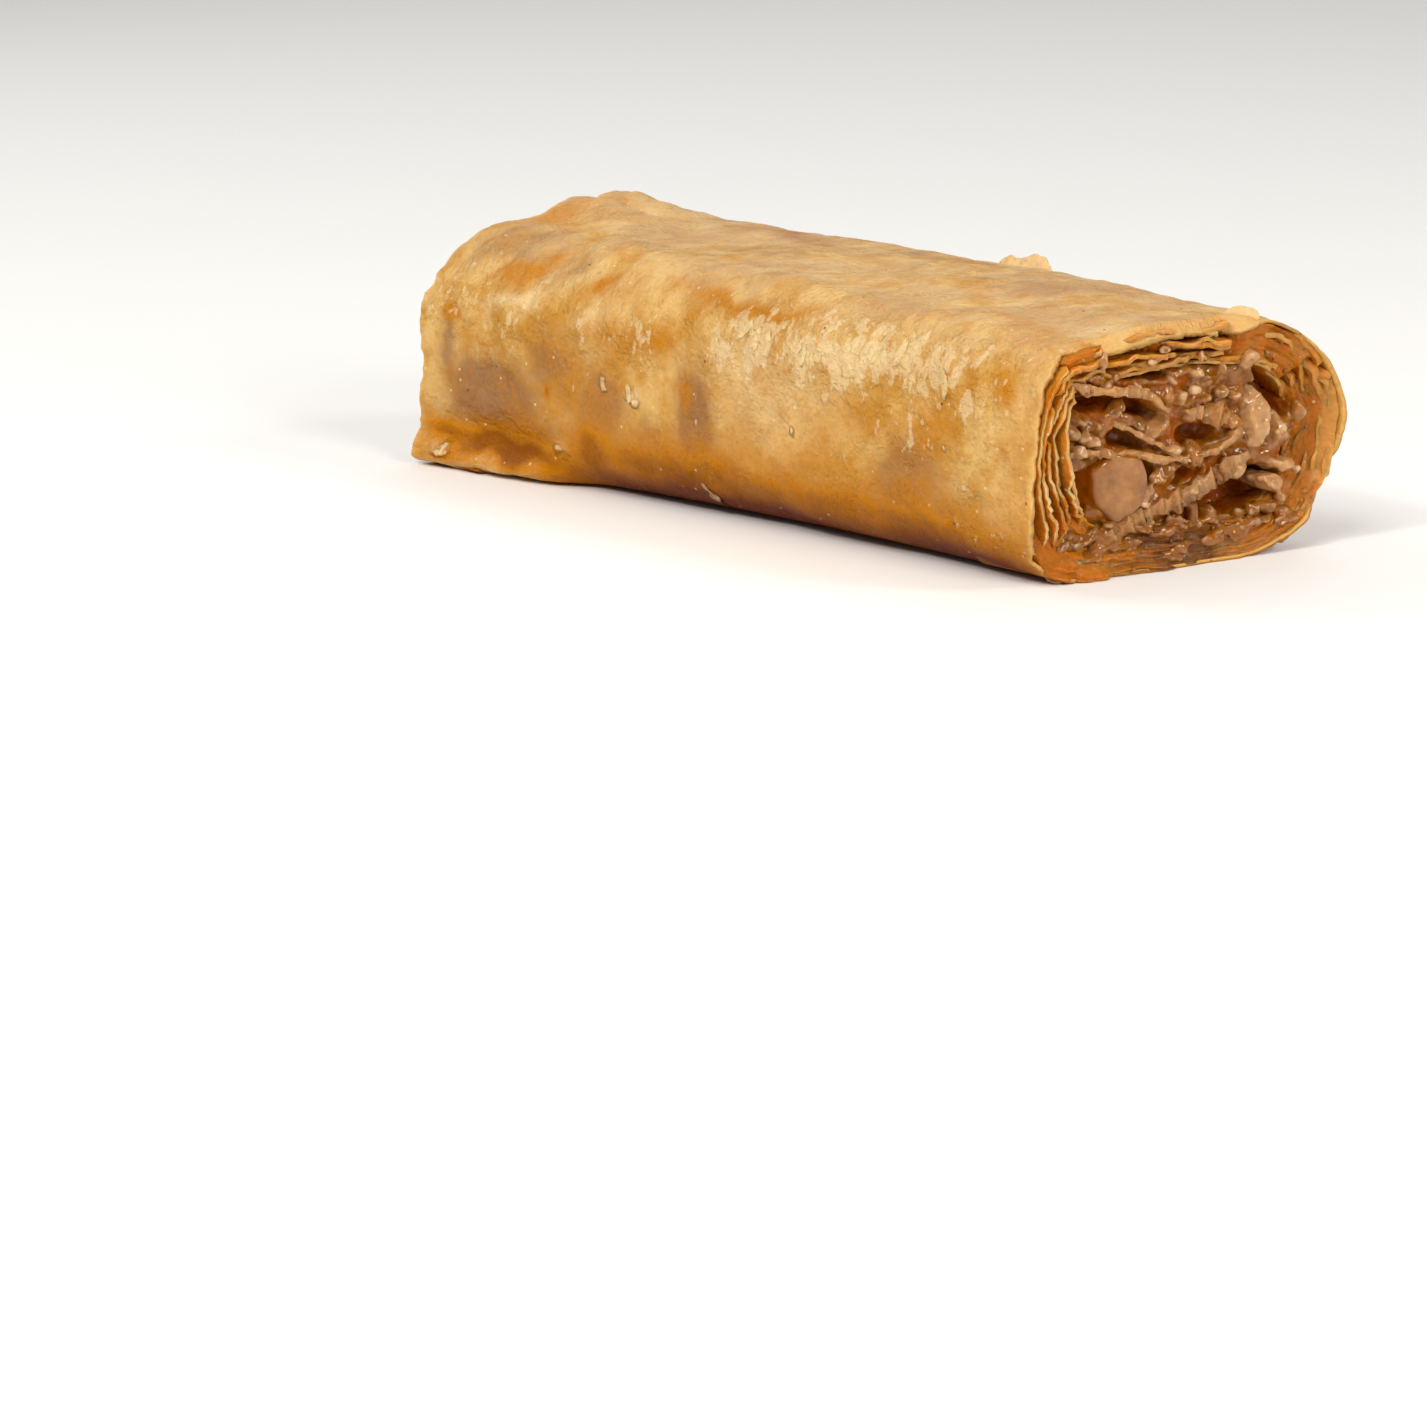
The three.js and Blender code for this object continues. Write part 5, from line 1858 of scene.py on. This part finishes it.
        # Ridges are painted paler with a pale rim, as painted highlights; creases are painted darker, partly
        # for syrup that pools there and partly as painted shade.
        bake[:, 0] += 0.5 * rise(crease, -0.01, -0.07)
        bake[:, 1] += 0.45 * rise(crease, 0.0, 0.06) + 0.25 * cloud(points, 1.8, 435, 2)
        bake[:, 3] += 0.3 * rise(crease, -0.05, -0.12) * (bake[:, 1] < 0.5)
        return mesh_object(f"{end.name.lower()}_filling", points, faces, bake)

    def large_half_nut(self) -> Object:
        """The large kernel that is cut in half: a flat face with soft corners, and a round body behind."""
        corners = np.array(self.half_nut)
        hub = corners.mean(axis=0)
        angles = np.linspace(0, 2 * math.pi, 121)[:-1]
        ways = np.stack([np.cos(angles), np.sin(angles)], -1)
        following = np.roll(corners, -1, axis=0)
        sides = following - corners
        outs = np.stack([sides[:, 1], -sides[:, 0]], -1) / np.linalg.norm(sides, axis=1, keepdims=True)
        outs = outs * np.sign(((corners - hub) * outs).sum(axis=1, keepdims=True))
        reach = ((corners - hub) * outs).sum(axis=1) / np.maximum(ways @ outs.T, 1e-3)
        soft = self.corner_softness
        outline = (-soft * np.log(np.exp(-reach / soft).sum(axis=1)))[:, None] * ways
        # How far behind the cut each ring is, how large it is and how far it has moved to the front side.
        rings = [(0.12 * share**3, share, 0.0) for share in np.linspace(0.04, 0.9, 24)]
        rings += [(0.12, 0.94, 0.0), (0.18, 0.975, 0.0), (0.3, 1.0, 0.0), (0.48, 1.02, 0.02)]
        body = [1.04 + 0.08 * math.sin(n / 5) - 0.0011 * n * n for n in range(19)]
        rings += [(0.7 + 0.2 * n, share, 0.08 * n) for n, share in enumerate(body)]
        rings += [(4.7, 0.55, 1.2), (4.95, 0.3, 1.2), (5.05, 0.1, 1.2)]
        rows = []
        for back, share, aside in rings:
            y, z = (hub + outline * share - (aside, 0.25 * aside)).T
            turned = 0.16 * (hub[0] - y) + 0.05 * (hub[1] - z)
            x = FORM.station_x(1.0, y, z, self.half_nut_back + back + turned)
            rows.append(np.stack([x, y, z], -1))
        points, faces = capped(np.array(rows))
        normals = normals_of(points, outward(points, faces))
        bumps = 0.16 * cloud(points, 1.6, 441, 2) + 0.07 * cloud(points, 0.5, 443, 2)
        points = points + normals * bumps[:, None]
        flat = rise(normals[:, 0], 0.6, 0.9)
        # The round body, and most of all the left side, are painted darker and wetter: painted shade where
        # the nut turns from the light and into the hollow.
        wet = 0.3 + 0.4 * cloud(points, 1.5, 445, 2) + 0.5 * (1 - flat)
        left = rise(-points[:, 1], 6.0, 8.2)
        toast_and_shade = (1 - flat) * (0.3 + 0.5 * left) + 0.25 * left + 0.2 * cloud(points, 0.9, 447, 3)
        bake = bake_shares(0.05 * flat, toast_and_shade, wet * (1 - 0.25 * flat), 0.05 * flat * (1 - left))
        return mesh_object("half_nut", points, faces, bake)

    def strewn_chips(self, host: Object, end: End, finish: Material) -> Object:
        """The chips and crumbs that stick to a cut face, thickest in clusters."""
        points, normals = places_of(host)
        deep = end.value * (FORM.station_x(end.t, points[:, 1], points[:, 2]) - points[:, 0])
        weight = rise(deep, 2.4, 1.2) * rise(end.value * normals[:, 0], 0.0, 0.5)
        weight = weight * rise(cloud(points, 2.6, 451 + end.value, 2), -0.15, 0.3)
        weight = weight * rise(points[:, 2], 0.3, 0.7)
        sizes = (self.chips_per_mm2, self.smallest_chip, self.largest_chip)
        strewing = Strewing(f"{host.name}_chips", *sizes, seed=8)
        return strewing.over(host, weight, nut_chips(6, 460), finish)

    def core(self) -> Object:
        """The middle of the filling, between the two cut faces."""
        u = FORM.round_steps(0.8, 1.0)
        reach = 1 - (self.plug_deep - 1.0) / HALF
        t = np.linspace(-reach, reach, 12)[:, None]
        points, faces = capped(FORM.wound(t, u, FORM.fanned(t, u, FORM.wall + self.clearance))[0])
        bake = np.zeros((len(points), 4))
        bake[:, 2] = 0.9
        return mesh_object("filling_core", points, faces, bake)

    def build(self) -> list[Object]:
        """Builds all of the filling's pieces."""
        return [self.core(), self.large_half_nut(), self.face(End.NEAR), self.face(End.FAR)]


def places_of(host: Object) -> tuple[Array, Array]:
    """The points of an object in millimetres, and its normals there."""
    return rows_of(host.data.vertices, "co", 3) / MM, rows_of(host.data.vertices, "normal", 3)


def joined(name: str, parts: list[Skin]) -> Object:
    """One object from several sets of points, faces and bake shares."""
    starts = np.cumsum([0] + [len(points) for points, _, _ in parts[:-1]])
    points = np.concatenate([part[0] for part in parts])
    faces = np.concatenate([part[1] + start for part, start in zip(parts, starts)])
    return mesh_object(name, points, faces, np.concatenate([part[2] for part in parts]))


# ------------------------------------------------------------------------------ chips and flakes


@dataclass
class Strewing:
    """Small pieces strewn over a surface by Geometry Nodes: chips and crumbs, or thin flakes of leaf.

    The host's weight attribute says how thickly they lie. Flakes lie flat along the surface with
    their long side up, and the others are turned any way.
    """

    name: str
    per_mm2: float
    smallest: float
    largest: float
    seed: int
    flat: bool = False

    def tree(self) -> NodeTree:
        """The node tree, with an input for each of the sizes."""
        tree = bpy.data.node_groups.new(self.name, "GeometryNodeTree")
        for name, kind in (
            ("Surface", "NodeSocketGeometry"),
            ("Shapes", "NodeSocketCollection"),
            ("Finish", "NodeSocketMaterial"),
            ("Number per area", "NodeSocketFloat"),
            ("Smallest", "NodeSocketFloat"),
            ("Largest", "NodeSocketFloat"),
            ("Seed", "NodeSocketInt"),
        ):
            tree.interface.new_socket(name, in_out="INPUT", socket_type=kind)
        tree.interface.new_socket("Pieces", in_out="OUTPUT", socket_type="NodeSocketGeometry")
        node = partial(add_node, tree)
        given = node("NodeGroupInput").outputs
        weight = node("GeometryNodeInputNamedAttribute", {"Name": "weight"}, data_type="FLOAT").outputs[0]
        rate = {0: weight, 1: given["Number per area"]}
        thick = node("ShaderNodeMath", rate, operation="MULTIPLY").outputs[0]
        spread = {"Mesh": given["Surface"], "Density": thick, "Seed": given["Seed"]}
        spots = node("GeometryNodeDistributePointsOnFaces", spread).outputs
        sizes = {2: given["Smallest"], 3: given["Largest"], "Seed": 1}
        size = node("FunctionNodeRandomValue", sizes, data_type="FLOAT").outputs[1]
        most = (0.0, 0.0, 0.5) if self.flat else (math.pi, math.pi, math.pi)
        limits = {0: tuple(-v for v in most), 1: most, "Seed": 2}
        angles = node("FunctionNodeRandomValue", limits, data_type="FLOAT_VECTOR").outputs[0]
        turn = node("FunctionNodeEulerToRotation", {0: angles}).outputs[0]
        if self.flat:
            upright = node(
                "FunctionNodeAlignRotationToVector",
                {"Rotation": spots["Rotation"], "Vector": (0.0, 0.0, 1.0)},
                axis="Y",
                pivot_axis="Z",
            ).outputs[0]
            both = {"Rotation": upright, "Rotate By": turn}
            turn = node("FunctionNodeRotateRotation", both, rotation_space="LOCAL").outputs[0]
        picked = {"Collection": given["Shapes"], "Separate Children": True, "Reset Children": True}
        shapes = node("GeometryNodeCollectionInfo", picked).outputs[0]
        pieces = node(
            "GeometryNodeInstanceOnPoints",
            {"Points": spots[0], "Instance": shapes, "Pick Instance": True, "Rotation": turn, "Scale": size},
        ).outputs[0]
        real = node("GeometryNodeRealizeInstances", {"Geometry": pieces}).outputs[0]
        done = node("GeometryNodeSetMaterial", {"Geometry": real, "Material": given["Finish"]}).outputs[0]
        node("NodeGroupOutput", {"Pieces": done})
        return tree

    def over(self, host: Object, weight: Array, shapes: list, finish: Material) -> Object:
        """The pieces strewn over a host, as one plain mesh.

        Args:
            host: the object whose surface they lie on.
            weight: from 0 to 1 for each of its points.
            shapes: the points, faces and bake shares of each shape, about a millimetre in size.
            finish: their material.

        Returns:
            The new object.
        """
        group = bpy.data.collections.new(f"{self.name}_shapes")
        for index, (points, faces, bake) in enumerate(shapes):
            one = mesh_object(f"{self.name}_{index}", points, faces, bake)
            bpy.context.scene.collection.objects.unlink(one)
            group.objects.link(one)
        surface = in_scene(f"{self.name}_surface", host.data.copy())
        marks = surface.data.attributes.new("weight", "FLOAT", "POINT")
        marks.data.foreach_set("value", np.clip(weight, 0, 1).astype(np.float32))
        tree = self.tree()
        change = surface.modifiers.new("strew", "NODES")
        change.node_group = tree
        given = [item for item in tree.interface.items_tree if item.in_out == "INPUT"]
        sockets = {item.name: item.identifier for item in given}
        for name, value in (
            ("Shapes", group),
            ("Finish", finish),
            ("Number per area", self.per_mm2 / MM**2),
            ("Smallest", self.smallest),
            ("Largest", self.largest),
            ("Seed", self.seed),
        ):
            change[sockets[name]] = value
        made = in_scene(self.name, evaluated(surface))
        for one in [*group.objects, surface]:
            bpy.data.objects.remove(one)
        bpy.data.collections.remove(group)
        return made


def nut_chips(count: int, seed: int) -> list[Skin]:
    """Shapes of nut chips, a few pale and dry and the others soaked."""
    draw = np.random.default_rng(seed)
    made = []
    for index in range(count):
        points, faces = chopped(2, seed + index, 4, 0.04)
        points = points * draw.uniform(0.45, 1.0, size=3)
        wet = draw.uniform(0, 0.9) if index else 0.0
        bake = np.tile([1 - wet, 0.3 * wet, wet, 0.5 * (index == 0)], (len(points), 1))
        made.append((points, faces, bake))
    return made


def leaf_scraps(count: int, seed: int) -> list[Skin]:
    """Shapes of thin scraps of leaf: ragged, bent along their length, and lying on Z."""
    made = []
    for index in range(count):
        across, along = np.meshgrid(np.linspace(-1, 1, 5), np.linspace(-1, 1, 6))
        place = np.stack([across, along, 0 * along + 3.0 * index], -1)
        ragged = 1 + 0.45 * cloud(place, 0.7, seed + index, 2)
        width = 0.36 * np.sqrt(np.clip(1.1 - along**2, 0.02, 1)) * ragged
        x = across * width
        y = along * (1 + 0.25 * cloud(place, 0.9, seed + index + 30, 1))
        lift = 0.04 + 0.05 * along**2 + 0.05 * cloud(place, 0.8, seed + index + 60, 1)
        outer = np.stack([x, y, lift], -1)
        points, faces = shell(outer, outer - (0, 0, 0.09), False)
        made.append((points, faces, np.tile([0.9, 0.0, 0.0, 0.3], (len(points), 1))))
    return made


# ------------------------------------------------------------------------------ the set


def towards(azimuth: float, elevation: float) -> Vector:
    """The way to a place, in degrees round from the front side to the near cut and in degrees up."""
    a, e = math.radians(azimuth), math.radians(elevation)
    return Vector((math.sin(a) * math.cos(e), -math.cos(a) * math.cos(e), math.sin(e)))


@dataclass(frozen=True)
class SoftLight:
    """A square soft light that faces the roll.

    Its azimuth goes from the front side towards the near cut and is in degrees, as its elevation is.
    Its distance and its size are in metres, and its power is in watts.
    """

    name: str
    azimuth: float
    elevation: float
    away: float
    size: float
    power: float
    tint: str = "#FFFFFF"

    def build(self) -> None:
        """Builds the light."""
        data = bpy.data.lights.new(self.name, "AREA")
        data.shape, data.size, data.energy = "SQUARE", self.size, self.power
        data.color = linear(self.tint)[:3]
        place = towards(self.azimuth, self.elevation) * self.away
        made = in_scene(self.name, data)
        made.location = place
        made.rotation_euler = place.to_track_quat("Z", "Y").to_euler()


@dataclass
class Studio:
    """A pale table, soft lights and the camera."""

    distance: float = 350.0
    azimuth: float = 46.76
    elevation: float = 11.33
    aim: tuple[float, float, float] = (0.0, 1.5, 0.0)
    focal_px: float = 4214.0
    image_px: float = 1427.0
    aim_px: tuple[float, float] = (865.38, 499.91)
    sensor_mm: float = 36.0
    table_half: float = 4.0
    world_strength: float = 0.19
    lights: tuple[SoftLight, ...] = (
        SoftLight("key", 20, 46, 0.6, 0.3, 1.76, "#FFFAF4"),
        SoftLight("glint", 10, 40, 0.6, 0.06, 0.7),
        SoftLight("left", -65, 35, 0.6, 0.3, 1.0),
        SoftLight("top", 195, 68, 0.7, 0.5, 0.92),
        SoftLight("back", 225, 32, 0.7, 0.6, 0.6),
        SoftLight("fill", 84, 26, 0.6, 0.18, 1.35, "#FFFAF2"),
        SoftLight("spark", 122, 38, 0.6, 0.12, 0.7),
    )

    def camera(self) -> None:
        """The camera, turned so that the aim point falls on its pixel."""
        back = towards(self.azimuth, self.elevation)
        a = math.radians(self.azimuth)
        right = Vector((math.cos(a), math.sin(a), 0.0))
        up = back.cross(right)
        middle = self.image_px / 2
        ray = Vector((self.aim_px[0] - middle, middle - self.aim_px[1], self.focal_px)).normalized()
        turn = Vector((0, 0, 1)).rotation_difference(ray).to_matrix()
        rows = turn @ Matrix((right, up, -back))
        matrix = Matrix((rows[0], rows[1], -rows[2])).transposed().to_4x4()
        matrix.translation = (Vector(self.aim) + back * self.distance) * MM
        data = bpy.data.cameras.new("camera")
        data.sensor_width = self.sensor_mm
        data.lens = self.sensor_mm * self.focal_px / self.image_px
        data.clip_start = 0.01
        made = in_scene("camera", data)
        made.matrix_world = matrix
        bpy.context.scene.camera = made

    def table(self) -> None:
        """The table top, level with the underside of the roll."""
        h = self.table_half / MM
        corners = np.array([[-h, -h, 0], [h, -h, 0], [h, h, 0], [-h, h, 0]])
        made = mesh_object("table", corners, np.array([[0, 1, 2, 3]]))
        made.data.materials.append(PaleTable().material())

    def build(self) -> None:
        """Builds the camera, the table and the lights."""
        self.camera()
        self.table()
        for light in self.lights:
            light.build()
        world = bpy.data.worlds.new("world")
        bpy.context.scene.world = world
        world.use_nodes = True
        background = world.node_tree.nodes["Background"].inputs
        background["Color"].default_value = linear("#FFFFFF")
        background["Strength"].default_value = self.world_strength
        bpy.context.scene.view_settings.view_transform = "Standard"


# ------------------------------------------------------------------------------ the piece


def dress(pieces: list[Object], material: Material, node: str) -> None:
    """Gives pieces their material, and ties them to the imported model.

    Args:
        pieces: the objects.
        material: what they are made of.
        node: the solid that they stand for.
    """
    for piece in pieces:
        if not piece.data.materials:
            piece.data.materials.append(material)
        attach(piece, "root")
        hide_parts(node)
        log.info("%s: %d faces", piece.name, len(piece.data.polygons))


# The outer leaf, the leaves inside it, and the crumpled leaves in the filling.
GLAZED = BakedPhyllo("glazed_phyllo")
SOAKED_THROUGH = BakedPhyllo(
    "soaked_phyllo",
    gold="#C07614",
    light="#D88E2A",
    pale="#E0A85A",
    soaked="#683A0A",
    amber="#B06200",
    deep="#803A00",
    rim="#E2BA78",
    coat=0.6,
    coat_roughness=0.08,
    scatter=0.8,
    scatter_mm=1.0,
    plate_high_mm=0.0,
)
CRUMPLED = BakedPhyllo(
    "syrup_soaked_phyllo",
    gold="#A86218",
    light="#C07E34",
    pale="#CC9450",
    soaked="#7A4410",
    amber="#A45C06",
    deep="#8A3000",
    rim="#DDB47C",
    coat=0.9,
    coat_roughness=0.08,
    scatter=0.4,
    plate_high_mm=0.0,
)
# The pieces that crumbs of nut stick to, and the cut that each shows at.
CRUMBED = {
    "near_filling": End.NEAR,
    "near_packed_leaves": End.NEAR,
    "tongue_leaf": End.NEAR,
    "curl_leaf": End.NEAR,
    "far_filling": End.FAR,
    "far_packed_leaves": End.FAR,
}


def main() -> None:
    """Builds the set and the piece."""
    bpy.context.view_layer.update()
    Studio().build()
    skin, leaf, crumpled = (finish.material() for finish in (GLAZED, SOAKED_THROUGH, CRUMPLED))
    nut = ChoppedNut("chopped_kernel").material()
    wall = WoundWall()
    wound = wall.build()
    for piece in wound:
        dress([piece], skin if piece.name == "outer_leaf" else leaf, "phyllo_roll")
    dress([LooseFlakes().build()], skin, "phyllo_roll")
    scroll = Scroll().build()
    dress(scroll, crumpled, "phyllo_roll")
    filling = Filling()
    filled = filling.build()
    hosts = [host for host in wound + scroll + filled if host.name in CRUMBED]
    chips = [filling.strewn_chips(host, CRUMBED[host.name], nut) for host in hosts]
    dress(filled + chips, nut, "nut_filling")
    dress([wall.scraps(wound[0], skin)], skin, "phyllo_roll")


if __name__ == "__main__":
    main()
